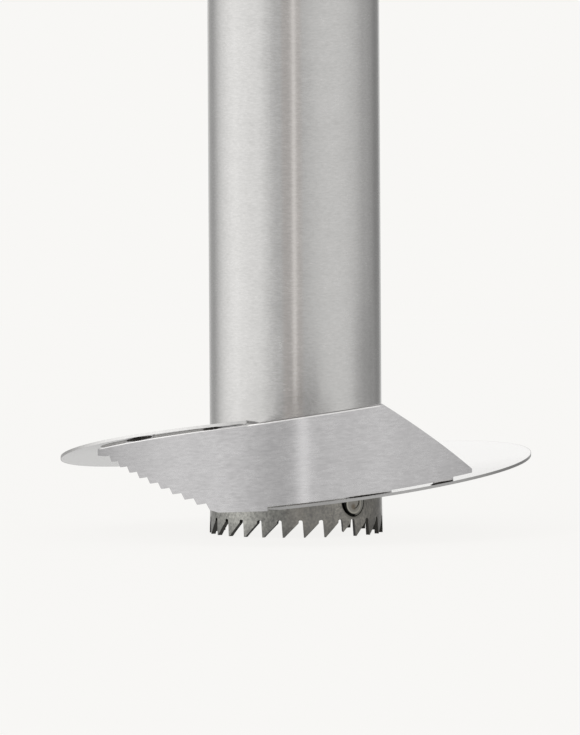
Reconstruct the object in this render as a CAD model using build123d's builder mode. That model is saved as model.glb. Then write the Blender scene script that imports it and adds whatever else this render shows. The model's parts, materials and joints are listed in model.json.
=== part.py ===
"""Pineapple slicer: a toothed core tube with a one-turn slicing disc, a curved serrated rim
blade that joins the ends of the disc, and a T-handle that latches into the top of the tube.

Millimetres, +Z up. The origin is on the tube's axis at the tips of its teeth, and the rim
blade faces -Y. Azimuths are counted from -Y, positive to +X. Turn angles follow the slicing
disc from +X, anticlockwise seen from above, so an azimuth is the turn angle plus a quarter.
"""

from build123d import *
from math import cos, degrees, exp, radians, sin, sqrt
import os

os.makedirs("parts", exist_ok=True)

quarter_turn = 90.0
three_quarter_turn = 270.0
full_turn = 360.0
overrun = 1.0

# Core tube, with its ring of sawn teeth
tube_diameter = 30.0
tube_wall = 0.75
tube_length = 215.0
mouth_flare = 0.13
mouth_flare_length = 6.0
tooth_count = 26
tooth_spacing = 14.0
first_tooth_azimuth = 43.4
tooth_height = 3.0
tooth_slope_run = 2.55
tooth_shoulder_height = 2.45
tooth_rake_run = 0.35
gullet_radius = 0.3
tip_flat = 0.12

bore_step = 0.1
bore_step_length = 2.0

tube_radius = tube_diameter / 2
bore_radius = tube_radius - tube_wall
seat_bore_radius = bore_radius + bore_step

# Slicing disc: a washer cut at one radius and sprung into one turn of a screw
disc_diameter = 82.2
disc_thickness = 0.5
disc_pitch = 15.77
disc_mid_height = 9.44
disc_lean = 4.53
disc_lean_angle = -24.1
disc_saddle = 0.89
disc_dish = 0.74
disc_dip = 0.35
dip_angle = -77.0
dip_width = 28.0
disc_end_sag = 0.42
sag_start_angle = 212.0
sag_power = 1.5
disc_start_angle = -97.0
disc_end_angle = 258.0
disc_end_slant = 12.0
disc_section_count = 30
disc_fit_gap = 0.05
cutting_bevel_run = 2.2
cutting_edge_thickness = 0.2

disc_radius = disc_diameter / 2
disc_inner_radius = tube_radius + disc_fit_gap

# Ears of the disc, spot-welded into pressed seats of the tube
ear_angles = [-48.2, 71.8, 191.8]
ear_radius = 2.25
ear_drop = 2.55
ear_seat_depth = 0.4
ear_seat_margin = 0.4
ear_fit_gap = 0.03
weld_dimple_radius = 1.3
weld_dimple_depth = 0.2

# Rim blade: a rolled plate with a serrated leading edge and four tabs
blade_inset = 0.75
blade_thickness = 0.7
blade_upper_gap = 0.7
blade_lower_gaps = [0.2, 0.4, 0.65]
blade_left_azimuth = -58.2
blade_apex_azimuth = 21.6
blade_apex_height = 24.48
blade_free_top_drop = 0.37
blade_right_azimuth = 48.9
blade_right_height = 12.53
serration_count = 10
serration_top_azimuth = -55.6
serration_top_height = 14.85
serration_low_azimuth = -21.6
serration_low_height = 6.32
serration_gullet_run_share = 0.72
serration_gullet_rise = 0.27
serration_blunting = 0.1
lower_corner_azimuth = -19.4
lower_corner_height = 5.93
upper_tab_azimuths = [(-46.7, -37.7), (-22.4, -13.2)]
lower_tab_azimuths = [(12.4, 24.0), (36.4, 42.2)]
tab_slot_clearance = 0.1
blank_margin_angle = 3.5
top_cut_section_count = 12
lower_cut_section_count = 16
gap_cut_section_count = 4

blade_radius = disc_radius - blade_inset
blade_inner_radius = blade_radius - blade_thickness

# Collar and hub of the handle
collar_overlap = 27.0
collar_radius = 22.5
collar_bottom_radius = 21.3
collar_edge_radius = 1.5
collar_running_clearance = 0.25
hub_top_height = 56.5
shell_wall = 2.6
shelf_thickness = 5.0
flange_thickness = 3.0
gasket_thickness = 1.9
gasket_end_gap = 0.1

collar_bottom = tube_length - collar_overlap
shelf_bottom = tube_length + gasket_end_gap + gasket_thickness
shelf_top = shelf_bottom + shelf_thickness
hub_top = collar_bottom + hub_top_height
hub_shoulder = shelf_top + flange_thickness

# Crossbar of the handle
handle_span = 130.0
bar_depth = 26.0
bar_height = 25.0
bar_axis_above_shelf = 9.0
bar_section_shares = [
    (-1.0, 0.60),
    (-0.94, 0.84),
    (-0.78, 1.0),
    (-0.45, 0.92),
    (0.0, 0.86),
    (0.45, 0.92),
    (0.78, 1.0),
    (0.94, 0.84),
    (1.0, 0.60),
]
hub_blend_radius = 4.0

bar_axis = shelf_top + bar_axis_above_shelf
half_span = handle_span / 2

# Fasteners of the two handle shells, and the cross drive of every screw
screw_position_shares = [-0.8, -0.52, 0.52, 0.8]
screw_radius = 1.5
screw_head_radius = 2.8
screw_head_height = 1.8
screw_clearance = 0.2
screw_boss_radius = 4.4
screw_seat_depth = 4.5
screw_bite = 7.0
screw_fit_gap = 0.05
drive_length = 2.6
drive_width = 0.6
drive_depth = 0.9
plug_gap = 0.1
shell_seam_gap = 0.05
seam_tolerance = 0.01

# Soft pads let into the top of the crossbar
pad_depth = 1.2
pad_length = 30.0
pad_width = 15.0
pad_from_end = 22.0
pad_fit_gap = 0.1

pad_centre = half_span - pad_from_end

# Spigot that fills the top of the tube
spigot_fit_clearance = 0.15
spigot_depth = 32.0
spigot_wall = 1.8
spigot_floor = 4.2
spigot_edge = 1.0
flange_margin = 0.8
flange_gap = 0.05
shelf_hole_clearance = 0.2
flange_screw_count = 3
flange_screw_radius = 1.2
flange_screw_head_radius = 2.2
flange_screw_head_height = 1.4
flange_screw_bite = 4.0
ring_section = 1.8
ring_fit_gap = 0.04
ring_groove_clearance = 0.1

spigot_radius = seat_bore_radius - spigot_fit_clearance
spigot_cavity_radius = spigot_radius - spigot_wall
flange_radius = collar_radius - shell_wall - flange_margin
flange_screw_circle = (spigot_radius + flange_radius) / 2
spigot_bottom = tube_length - spigot_depth
ring_height = spigot_bottom + spigot_floor / 2

# Spring clip with two latch studs
latch_above_collar_bottom = 12.0
stud_radius = 3.2
stud_reach = 2.2
stud_dome = 1.2
latch_hole_clearance = 0.3
clip_width = 7.0
clip_thickness = 0.8
clip_bend_radius = 2.0
clip_wall_gap = 0.3
clip_arm_above_stud = 6.0
clip_base_gap = 0.1
clip_screw_radius = 1.5
clip_screw_head_radius = 2.8
clip_screw_head_height = 1.6
clip_screw_bite = 3.2

latch_height = collar_bottom + latch_above_collar_bottom
clip_face = sqrt(spigot_cavity_radius**2 - (clip_width / 2) ** 2) - clip_wall_gap
stud_tip = tube_radius + stud_reach

# Release buttons
button_travel = 2.0
button_contact_gap = 0.15
button_head_radius = 6.9
button_flange_radius = 8.3
button_flange_thickness = 1.2
button_side_clearance = 0.3
button_pocket_gap = 0.2
button_pressed_proud = 0.6
button_face_round = 1.0

button_proud = button_travel + button_pressed_proud
button_foot = stud_tip + button_contact_gap
button_pocket_end = button_foot + button_flange_thickness + button_pocket_gap


def unsagged_height(radius, angle):
    """Height of the slicing disc's middle surface as if its upper end didn't sag."""
    reach = radius / disc_radius
    climb = disc_pitch * angle / full_turn
    lean = disc_lean * reach * cos(radians(angle - disc_lean_angle))
    saddle = disc_saddle * reach**2 * sin(radians(2 * angle))
    dish = disc_dish * (reach - 1) * (angle - ear_angles[0]) / full_turn
    dip = disc_dip * exp(-(((angle - dip_angle) / dip_width) ** 2))
    return disc_mid_height + climb + lean + saddle + dish - dip


def disc_height(radius, angle):
    """Height of the slicing disc's middle surface at a radius and a turn angle."""
    past_start = max(0, angle - sag_start_angle) / (disc_end_angle - sag_start_angle)
    return unsagged_height(radius, angle) - disc_end_sag * past_start**sag_power


def radial_plane(angle):
    """Upright plane through the axis: its x runs outwards at the turn angle, its y runs up."""
    along = radians(angle)
    return Plane(origin=(0, 0, 0), x_dir=(cos(along), sin(along), 0), z_dir=(sin(along), -cos(along), 0))


def tangent_plane(radius, azimuth):
    """Upright plane that touches a cylinder at an azimuth: its x runs to the right, its y up."""
    turn = radians(azimuth)
    origin = (radius * sin(turn), -radius * cos(turn), 0)
    return Plane(origin=origin, x_dir=(cos(turn), sin(turn), 0), z_dir=(sin(turn), -cos(turn), 0))


def disc_band(inner, outer, start, end, low, high, section_count, height=disc_height):
    """Solid between two radii that follows the disc, from low to high of its middle surface."""
    with BuildPart() as band:
        for step in range(section_count + 1):
            angle = start + (end - start) * step / section_count
            inside = height(inner, angle)
            outside = height(outer, angle)
            with BuildSketch(radial_plane(angle)):
                with BuildLine():
                    Polyline(
                        (inner, inside + low),
                        (outer, outside + low),
                        (outer, outside + high),
                        (inner, inside + high),
                        close=True,
                    )
                make_face()
        loft()
    return band.part


def ring_sector(inner, outer, start_azimuth, end_azimuth, bottom, top):
    """Upright block between two radii and two azimuths."""
    start = start_azimuth - quarter_turn
    span = end_azimuth - start_azimuth
    with BuildPart() as sector:
        with BuildSketch(Plane.XY.offset(bottom)):
            with BuildLine():
                near = CenterArc((0, 0), inner, start, span)
                far = CenterArc((0, 0), outer, start, span)
                Line(near @ 0, far @ 0)
                Line(near @ 1, far @ 1)
            make_face()
        extrude(amount=top - bottom)
    return sector.part


def ear_height(angle):
    """Height of the middle of an ear's round end, which is also the height of its weld."""
    return disc_height(disc_inner_radius, angle) - ear_drop


def ear_prism(angle, radius, inner, outer, top):
    """Round-ended tongue wrapped round the tube, hanging below the disc's inner edge."""
    centre = ear_height(angle)
    with BuildPart() as tongue:
        with BuildSketch(tangent_plane(0, angle + quarter_turn)):
            with Locations((0, centre)):
                Circle(radius)
            with Locations((0, (centre + top) / 2)):
                Rectangle(2 * radius, top - centre)
        extrude(amount=outer + radius)
        with BuildSketch(Plane.XY.offset(centre - 2 * radius)):
            Circle(outer)
            Circle(inner, mode=Mode.SUBTRACT)
        extrude(amount=top - centre + 4 * radius, mode=Mode.INTERSECT)
    return tongue.part


def bar_form(shrink):
    """Crossbar of the handle, lofted through ellipses, with its skin drawn in by shrink."""
    with BuildPart() as form:
        for place_share, size_share in bar_section_shares:
            section = Plane.YZ.offset(place_share * (half_span - shrink))
            with BuildSketch(section):
                with Locations((0, bar_axis)):
                    upright = bar_height / 2 * size_share - shrink
                    Ellipse(upright, bar_depth / 2 * size_share - shrink, rotation=-quarter_turn)
        loft()
    return form.part


def hub_form(shrink):
    """Round hub of the handle, from its collar to its domed top, drawn in by shrink."""
    with BuildPart() as form:
        with BuildSketch(Plane.XZ):
            with BuildLine():
                Line((0, collar_bottom), (collar_bottom_radius - shrink, collar_bottom))
                Line((collar_bottom_radius - shrink, collar_bottom), (collar_radius - shrink, hub_shoulder))
                Spline(
                    (collar_radius - shrink, hub_shoulder),
                    (0, hub_top - shrink),
                    tangents=((0, 1), (-1, 0)),
                )
                Line((0, hub_top - shrink), (0, collar_bottom))
            make_face()
        revolve(axis=Axis.Z)
    return form.part


# Pieces of shape that several sub-parts share
slicing_band = disc_band(
    disc_inner_radius,
    disc_radius,
    disc_start_angle,
    disc_end_angle,
    -disc_thickness / 2,
    disc_thickness / 2,
    disc_section_count,
)
seat_floor = tube_radius - ear_seat_depth
seat_radius = ear_radius + ear_seat_margin
ear_inner = seat_floor + ear_fit_gap
ear_outer = ear_inner + disc_thickness
ears = []
ear_seats = []
for ear_angle in ear_angles:
    ear_top = disc_height(disc_inner_radius, ear_angle)
    seat_top = ear_top + disc_thickness
    ears.append(ear_prism(ear_angle, ear_radius, ear_inner, ear_outer, ear_top))
    ear_seats.append(ear_prism(ear_angle, seat_radius, seat_floor, tube_radius + overrun, seat_top))

# Core tube
with BuildPart() as gullet:
    with BuildSketch(Plane.XZ.offset(bore_radius - overrun)) as gullet_outline:
        pitch_run = radians(tooth_spacing) * tube_radius
        with BuildLine():
            Polyline(
                (tip_flat, 0),
                (tooth_slope_run, tooth_shoulder_height),
                (tooth_slope_run, tooth_height),
                (pitch_run - tooth_rake_run, tooth_height),
                (pitch_run - tip_flat, 0),
                (pitch_run - tip_flat, -overrun),
                (tip_flat, -overrun),
                close=True,
            )
        make_face()
        upper_corners = gullet_outline.vertices().group_by(Axis.Z)[-1]
        fillet(upper_corners, gullet_radius)
    extrude(amount=tube_wall + 2 * overrun)
with BuildPart() as core_tube:
    with BuildSketch(Plane.XZ):
        with BuildLine():
            Polyline(
                (bore_radius + mouth_flare, 0),
                (tube_radius + mouth_flare, 0),
                (tube_radius, mouth_flare_length),
                (tube_radius, tube_length),
                (seat_bore_radius, tube_length),
                (seat_bore_radius, spigot_bottom),
                (bore_radius, spigot_bottom - bore_step_length),
                (bore_radius, mouth_flare_length),
                close=True,
            )
        make_face()
    revolve(axis=Axis.Z)
    first_gullet = first_tooth_azimuth - tooth_spacing
    gullet_sweep = tooth_spacing * (tooth_count - 1)
    with PolarLocations(0, tooth_count, first_gullet, gullet_sweep, endpoint=True):
        add(gullet.part, mode=Mode.SUBTRACT)
    for seat in ear_seats:
        add(seat, mode=Mode.SUBTRACT)
    with BuildSketch(Plane.XZ):
        with Locations((0, latch_height)):
            Circle(stud_radius + latch_hole_clearance)
    extrude(amount=tube_radius + overrun, both=True, mode=Mode.SUBTRACT)
core_tube.part.label = "core_tube"
export_step(core_tube.part, "parts/core_tube.step")

# Slicing disc
bevel_angle = degrees(cutting_bevel_run / disc_radius)
bevel_rise = disc_thickness - cutting_edge_thickness
with BuildPart() as edge_bevel:
    for turn_sign in (-1, 1):
        angle = disc_start_angle + turn_sign * bevel_angle
        ceiling = bevel_rise * (1 - turn_sign) - disc_thickness / 2
        inside = disc_height(disc_inner_radius - overrun, angle)
        outside = disc_height(disc_radius + overrun, angle)
        with BuildSketch(radial_plane(angle)):
            with BuildLine():
                Polyline(
                    (disc_inner_radius - overrun, inside + ceiling),
                    (disc_radius + overrun, outside + ceiling),
                    (disc_radius + overrun, outside - disc_thickness),
                    (disc_inner_radius - overrun, inside - disc_thickness),
                    close=True,
                )
            make_face()
    loft()
rim_turn = radians(disc_end_angle)
tube_turn = radians(disc_end_angle - disc_end_slant)
end_at_rim = (disc_radius * cos(rim_turn), disc_radius * sin(rim_turn))
end_at_tube = (disc_inner_radius * cos(tube_turn), disc_inner_radius * sin(tube_turn))
with BuildPart() as end_trim:
    with BuildSketch(Plane.XY.offset(disc_mid_height)):
        with BuildLine():
            Polyline(
                end_at_rim,
                end_at_tube,
                (0, end_at_tube[1] + overrun),
                (0, -disc_radius - overrun),
                (end_at_rim[0], -disc_radius - overrun),
                close=True,
            )
        make_face()
    extrude(amount=blade_apex_height - disc_mid_height)
with BuildPart() as slicing_disc:
    add(slicing_band)
    for ear in ears:
        add(ear)
    add(edge_bevel.part, mode=Mode.SUBTRACT)
    add(end_trim.part, mode=Mode.SUBTRACT)
    for ear_angle in ear_angles:
        with BuildSketch(tangent_plane(ear_outer - weld_dimple_depth, ear_angle + quarter_turn)):
            with Locations((0, ear_height(ear_angle))):
                Circle(weld_dimple_radius)
        extrude(amount=overrun, mode=Mode.SUBTRACT)
    for low_azimuth, high_azimuth in upper_tab_azimuths + lower_tab_azimuths:
        slot_reach = degrees(tab_slot_clearance / blade_radius)
        slot = ring_sector(
            blade_inner_radius - tab_slot_clearance,
            blade_radius + tab_slot_clearance,
            low_azimuth - slot_reach,
            high_azimuth + slot_reach,
            0,
            blade_apex_height,
        )
        add(slot, mode=Mode.SUBTRACT)
slicing_disc.part.label = "slicing_disc"
export_step(slicing_disc.part, "parts/slicing_disc.step")

# Rim blade
disc_end_azimuth = disc_end_angle - full_turn + quarter_turn
disc_start_azimuth = disc_start_angle + quarter_turn
free_top_height = disc_height(blade_radius, disc_end_angle) - disc_thickness / 2 - blade_free_top_drop
free_low_height = disc_height(blade_radius, disc_start_angle) - disc_thickness / 2
upper_offset = disc_thickness / 2 + blade_upper_gap
serration_run = radians(serration_low_azimuth - serration_top_azimuth) * blade_radius / serration_count
serration_fall = (serration_top_height - serration_low_height) / serration_count
serration_gullet_run = serration_run * serration_gullet_run_share
serration_lap = (serration_run - serration_gullet_run) / 2


def across(azimuth, middle):
    """Distance to the right of a tangent plane's middle at which an azimuth crosses the blade."""
    return blade_radius * sin(radians(azimuth - middle))


blade_blank = ring_sector(
    blade_inner_radius,
    blade_radius,
    blade_left_azimuth,
    blade_right_azimuth,
    overrun,
    blade_apex_height + overrun,
)
blade_cuts = []
cut_inner = blade_inner_radius - overrun
cut_outer = blade_radius + overrun
tab_end = disc_thickness / 2
gap_top = tab_end + overrun
upper_start = blade_left_azimuth - blank_margin_angle + three_quarter_turn
top_cut = disc_band(
    cut_inner, cut_outer, upper_start, disc_end_angle, tab_end, blade_apex_height, top_cut_section_count
)
blade_cuts.append(top_cut)
open_start = upper_start
for low_azimuth, high_azimuth in upper_tab_azimuths + [(disc_end_azimuth, disc_end_azimuth)]:
    open_end = low_azimuth + three_quarter_turn
    upper_gap = disc_band(
        cut_inner,
        cut_outer,
        open_start,
        open_end,
        -upper_offset,
        gap_top,
        gap_cut_section_count,
        unsagged_height,
    )
    blade_cuts.append(upper_gap)
    open_start = high_azimuth + three_quarter_turn
lower_end = blade_right_azimuth + blank_margin_angle - quarter_turn
lower_cut = disc_band(
    cut_inner, cut_outer, disc_start_angle, lower_end, -blade_apex_height, -tab_end, lower_cut_section_count
)
blade_cuts.append(lower_cut)
open_start = disc_start_angle
lower_stretches = lower_tab_azimuths + [(blade_right_azimuth + blank_margin_angle, 0)]
for (low_azimuth, high_azimuth), lower_gap in zip(lower_stretches, blade_lower_gaps):
    open_end = low_azimuth - quarter_turn
    lower_top = disc_thickness / 2 + lower_gap
    blade_cuts.append(
        disc_band(cut_inner, cut_outer, open_start, open_end, -gap_top, lower_top, gap_cut_section_count)
    )
    open_start = high_azimuth - quarter_turn
with BuildPart() as rim_blade:
    add(blade_blank)
    for cut in blade_cuts:
        add(cut, mode=Mode.SUBTRACT)
    # Free stretch of the top edge, from the end of the disc to the apex
    top_middle = (disc_end_azimuth + blade_apex_azimuth) / 2
    with BuildSketch(tangent_plane(0, top_middle)):
        with BuildLine():
            top_left = (across(disc_end_azimuth, top_middle), free_top_height)
            top_right = (across(blade_apex_azimuth, top_middle), blade_apex_height)
            top_rise = (top_right[1] - top_left[1]) / (top_right[0] - top_left[0])
            Polyline(
                (-blade_radius / 2, free_top_height),
                top_left,
                (blade_radius / 2, top_right[1] + top_rise * (blade_radius / 2 - top_right[0])),
                (blade_radius / 2, 2 * blade_apex_height),
                (-blade_radius / 2, 2 * blade_apex_height),
                close=True,
            )
        make_face()
    extrude(amount=blade_radius + overrun, mode=Mode.SUBTRACT)
    # Slanted right-hand edge
    right_middle = (blade_apex_azimuth + blade_right_azimuth) / 2
    with BuildSketch(tangent_plane(0, right_middle)):
        with BuildLine():
            edge_top = (across(blade_apex_azimuth, right_middle), blade_apex_height)
            edge_low = (across(blade_right_azimuth, right_middle), blade_right_height)
            edge_run = edge_low[0] - edge_top[0]
            edge_fall = edge_top[1] - edge_low[1]
            Polyline(
                (edge_top[0] - edge_run, edge_top[1] + edge_fall),
                (edge_low[0] + edge_run, edge_low[1] - edge_fall),
                (edge_low[0] + edge_run, edge_top[1] + edge_fall),
                close=True,
            )
        make_face()
    extrude(amount=blade_radius + overrun, mode=Mode.SUBTRACT)
    # Free stretch of the lower edge, left of the start of the disc
    low_middle = (serration_low_azimuth + disc_start_azimuth) / 2
    last_tip = across(serration_low_azimuth, low_middle)
    with BuildSketch(tangent_plane(0, low_middle)):
        with BuildLine():
            Polyline(
                (across(disc_start_azimuth, low_middle), free_low_height),
                (across(lower_corner_azimuth, low_middle), lower_corner_height),
                (last_tip - serration_lap, serration_low_height + serration_blunting),
                (last_tip - serration_lap, 0),
                (across(disc_start_azimuth, low_middle) + serration_run, 0),
                (across(disc_start_azimuth, low_middle) + serration_run, free_low_height),
                close=True,
            )
        make_face()
    extrude(amount=blade_radius + overrun, mode=Mode.SUBTRACT)
    # Square lower corner of the blade's left end
    left_middle = (blade_left_azimuth + serration_top_azimuth) / 2
    with BuildSketch(tangent_plane(0, left_middle)):
        with BuildLine():
            Polyline(
                (-serration_run, serration_top_height),
                (across(serration_top_azimuth, left_middle), serration_top_height),
                (across(serration_top_azimuth, left_middle), 0),
                (-serration_run, 0),
                close=True,
            )
        make_face()
    extrude(amount=blade_radius + overrun, mode=Mode.SUBTRACT)
    # Serrated leading edge, one strip cut away below each tooth
    for tooth in range(serration_count):
        azimuth_step = (serration_low_azimuth - serration_top_azimuth) / serration_count
        strip_azimuth = serration_top_azimuth + azimuth_step * tooth + azimuth_step / 2
        tip_height = serration_top_height - serration_fall * tooth
        with BuildSketch(tangent_plane(0, strip_azimuth)):
            with BuildLine():
                Polyline(
                    (-serration_run / 2, tip_height),
                    (serration_gullet_run - serration_run / 2, tip_height + serration_gullet_rise),
                    (serration_run / 2, tip_height - serration_fall),
                    (serration_run / 2 + serration_lap, tip_height - serration_fall - serration_lap),
                    (serration_run / 2 + serration_lap, 0),
                    (-serration_run / 2 - serration_lap, 0),
                    (-serration_run / 2 - serration_lap, tip_height - serration_lap),
                    close=True,
                )
            make_face()
        extrude(amount=blade_radius + overrun, mode=Mode.SUBTRACT)
rim_blade.part.label = "rim_blade"
export_step(rim_blade.part, "parts/rim_blade.step")

# Outside of the handle's two halves, and the hollow inside them
outer_hub = hub_form(0)
outer_bar = bar_form(0)


def handle_half(level, keep):
    """Outside of the handle above or below a level, with the hub blended into the crossbar."""
    with BuildPart() as half:
        add(outer_hub)
        add(outer_bar)
        split(bisect_by=Plane.XY.offset(level), keep=keep)
        creases = []
        for edge in half.edges():
            from_level = min(abs(corner.Z - level) for corner in edge.vertices())
            if from_level < seam_tolerance and edge.bounding_box().size.Z > hub_blend_radius:
                if abs(edge.center().X) < collar_radius:
                    creases.append(edge)
        fillet(creases, hub_blend_radius)
    return half.part


with BuildPart() as handle_hollow:
    add(hub_form(shell_wall))
    split(bisect_by=Plane.XY.offset(shelf_top), keep=Keep.TOP)
    add(bar_form(shell_wall))

screw_places = [(share * half_span, 0) for share in screw_position_shares]
screw_seat = bar_axis - screw_seat_depth
screw_tip = bar_axis + screw_bite
head_hole_radius = screw_head_radius + screw_clearance

with BuildPart() as lower_bosses:
    with BuildSketch(Plane.XY.offset(bar_axis - bar_height)):
        with Locations(*screw_places):
            Circle(screw_boss_radius)
    extrude(amount=bar_height)
    add(bar_form(shell_wall / 2), mode=Mode.INTERSECT)
with BuildPart() as upper_bosses:
    with BuildSketch(Plane.XY.offset(bar_axis + shell_seam_gap)):
        with Locations(*screw_places):
            Circle(screw_boss_radius)
    extrude(amount=bar_height)
    add(bar_form(shell_wall - overrun / 2), mode=Mode.INTERSECT)

# Handle body: collar, hub and lower half of the crossbar
with BuildPart() as handle_body:
    add(handle_half(bar_axis, Keep.BOTTOM))
    fillet(handle_body.edges().group_by(Axis.Z)[0], collar_edge_radius)
    add(handle_hollow.part, mode=Mode.SUBTRACT)
    add(lower_bosses.part)
    with BuildSketch(Plane.XY.offset(screw_seat)):
        with Locations(*screw_places):
            Circle(head_hole_radius)
    extrude(amount=-bar_height, mode=Mode.SUBTRACT)
    with BuildSketch(Plane.XY.offset(screw_seat)):
        with Locations(*screw_places):
            Circle(screw_radius + screw_clearance)
    extrude(amount=bar_height, mode=Mode.SUBTRACT)
    with BuildSketch(Plane.XY.offset(collar_bottom)):
        Circle(tube_radius + collar_running_clearance)
    extrude(amount=shelf_bottom - collar_bottom, mode=Mode.SUBTRACT)
    with BuildSketch(Plane.XY.offset(collar_bottom)):
        Circle(spigot_radius + shelf_hole_clearance)
    extrude(amount=shelf_top - collar_bottom, mode=Mode.SUBTRACT)
    with BuildSketch(Plane.XZ):
        with Locations((0, latch_height)):
            Circle(button_flange_radius + button_side_clearance)
    extrude(amount=button_pocket_end, both=True, mode=Mode.SUBTRACT)
    with BuildSketch(Plane.XZ):
        with Locations((0, latch_height)):
            Circle(button_head_radius + button_side_clearance)
    extrude(amount=collar_radius + overrun, both=True, mode=Mode.SUBTRACT)
    with BuildSketch(Plane.XY.offset(shelf_top)):
        with PolarLocations(flange_screw_circle, flange_screw_count):
            Circle(flange_screw_radius + screw_fit_gap)
    extrude(amount=-flange_screw_bite - screw_clearance, mode=Mode.SUBTRACT)
handle_body.part.label = "handle_body"
export_step(handle_body.part, "parts/handle_body.step")

# Soft pads, cut from the crossbar's own skin
pads = []
for side in (-1, 1):
    with BuildPart() as pad:
        with BuildSketch(Plane.XY.offset(bar_axis)):
            with Locations((side * pad_centre, 0)):
                SlotOverall(pad_length, pad_width)
        extrude(amount=bar_height)
        add(outer_bar, mode=Mode.INTERSECT)
        add(bar_form(pad_depth), mode=Mode.SUBTRACT)
    pads.append(pad.part)
grip_pad_left, grip_pad_right = pads
grip_pad_left.label = "grip_pad_left"
grip_pad_right.label = "grip_pad_right"
export_step(grip_pad_left, "parts/grip_pad_left.step")
export_step(grip_pad_right, "parts/grip_pad_right.step")

# Handle cover: upper half of the crossbar and hub
with BuildPart() as pad_recess:
    with BuildSketch(Plane.XY.offset(bar_axis)):
        for side in (-1, 1):
            with Locations((side * pad_centre, 0)):
                SlotOverall(pad_length + 2 * pad_fit_gap, pad_width + 2 * pad_fit_gap)
    extrude(amount=bar_height)
    add(bar_form(pad_depth + pad_fit_gap), mode=Mode.SUBTRACT)
with BuildPart() as handle_cover:
    add(handle_half(bar_axis + shell_seam_gap, Keep.TOP))
    add(handle_hollow.part, mode=Mode.SUBTRACT)
    add(upper_bosses.part)
    add(pad_recess.part, mode=Mode.SUBTRACT)
    with BuildSketch(Plane.XY.offset(bar_axis)):
        with Locations(*screw_places):
            Circle(screw_radius + screw_fit_gap)
    extrude(amount=screw_bite + screw_clearance, mode=Mode.SUBTRACT)
handle_cover.part.label = "handle_cover"
export_step(handle_cover.part, "parts/handle_cover.step")

# Screws that hold the cover, and the plugs that close their holes
for number, screw_place in enumerate(screw_places, 1):
    with BuildPart() as cover_screw:
        with BuildSketch(Plane.XY.offset(screw_seat)):
            with Locations(screw_place):
                Circle(screw_head_radius)
        extrude(amount=-screw_head_height)
        with BuildSketch(Plane.XY.offset(screw_seat)):
            with Locations(screw_place):
                Circle(screw_radius)
        extrude(amount=screw_tip - screw_seat)
        with BuildSketch(Plane.XY.offset(screw_seat - screw_head_height)):
            with Locations(screw_place):
                Rectangle(drive_length, drive_width)
                Rectangle(drive_width, drive_length)
        extrude(amount=drive_depth, mode=Mode.SUBTRACT)
    cover_screw.part.label = f"cover_screw_{number}"
    export_step(cover_screw.part, f"parts/cover_screw_{number}.step")
    with BuildPart() as screw_plug:
        with BuildSketch(Plane.XY.offset(screw_seat - screw_head_height - plug_gap)):
            with Locations(screw_place):
                Circle(head_hole_radius - plug_gap)
        extrude(amount=-bar_height)
        add(outer_bar, mode=Mode.INTERSECT)
    screw_plug.part.label = f"screw_plug_{number}"
    export_step(screw_plug.part, f"parts/screw_plug_{number}.step")

# Spigot that fills the top of the tube and carries the latch
flange_bottom = shelf_top + flange_gap
ring_outer = seat_bore_radius - ring_fit_gap
with BuildPart() as spigot:
    with BuildSketch(Plane.XZ):
        with BuildLine():
            Polyline(
                (0, spigot_bottom),
                (spigot_radius - spigot_edge, spigot_bottom),
                (spigot_radius, spigot_bottom + spigot_edge),
                (spigot_radius, flange_bottom),
                (flange_radius, flange_bottom),
                (flange_radius, flange_bottom + flange_thickness),
                (spigot_cavity_radius, flange_bottom + flange_thickness),
                (spigot_cavity_radius, spigot_bottom + spigot_floor),
                (0, spigot_bottom + spigot_floor),
                close=True,
            )
        make_face()
    revolve(axis=Axis.Z)
    with BuildSketch(Plane.XZ):
        with Locations((ring_outer - ring_section / 2, ring_height)):
            Rectangle(ring_section + 2 * ring_groove_clearance, ring_section + 2 * ring_groove_clearance)
    revolve(axis=Axis.Z, mode=Mode.SUBTRACT)
    with BuildSketch(Plane.XZ):
        with Locations((0, latch_height)):
            Circle(stud_radius + latch_hole_clearance)
    extrude(amount=tube_radius, both=True, mode=Mode.SUBTRACT)
    with BuildSketch(Plane.XY.offset(flange_bottom)):
        with PolarLocations(flange_screw_circle, flange_screw_count):
            Circle(flange_screw_radius + screw_clearance)
    extrude(amount=flange_thickness, mode=Mode.SUBTRACT)
    with BuildSketch(Plane.XY.offset(spigot_bottom + spigot_floor)):
        Circle(clip_screw_radius + screw_fit_gap)
    extrude(amount=-clip_screw_bite - screw_fit_gap, mode=Mode.SUBTRACT)
spigot.part.label = "spigot"
export_step(spigot.part, "parts/spigot.step")

# Screws that hold the spigot's flange to the hub's shelf
flange_top = flange_bottom + flange_thickness
for number in range(flange_screw_count):
    turn = full_turn * number / flange_screw_count
    screw_place = (flange_screw_circle * cos(radians(turn)), flange_screw_circle * sin(radians(turn)))
    with BuildPart() as spigot_screw:
        with BuildSketch(Plane.XY.offset(flange_top)):
            with Locations(screw_place):
                Circle(flange_screw_head_radius)
        extrude(amount=flange_screw_head_height)
        with BuildSketch(Plane.XY.offset(flange_top)):
            with Locations(screw_place):
                Circle(flange_screw_radius)
        extrude(amount=-flange_thickness - flange_screw_bite)
        with BuildSketch(Plane.XY.offset(flange_top + flange_screw_head_height)):
            with Locations(screw_place):
                Rectangle(drive_length, drive_width)
                Rectangle(drive_width, drive_length)
        extrude(amount=-drive_depth, mode=Mode.SUBTRACT)
    spigot_screw.part.label = f"spigot_screw_{number + 1}"
    export_step(spigot_screw.part, f"parts/spigot_screw_{number + 1}.step")

# Rubber ring that steadies the spigot in the bore
with BuildPart() as spigot_ring:
    with BuildSketch(Plane.XZ):
        with Locations((ring_outer - ring_section / 2, ring_height)):
            Circle(ring_section / 2)
    revolve(axis=Axis.Z)
spigot_ring.part.label = "spigot_ring"
export_step(spigot_ring.part, "parts/spigot_ring.step")

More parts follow.
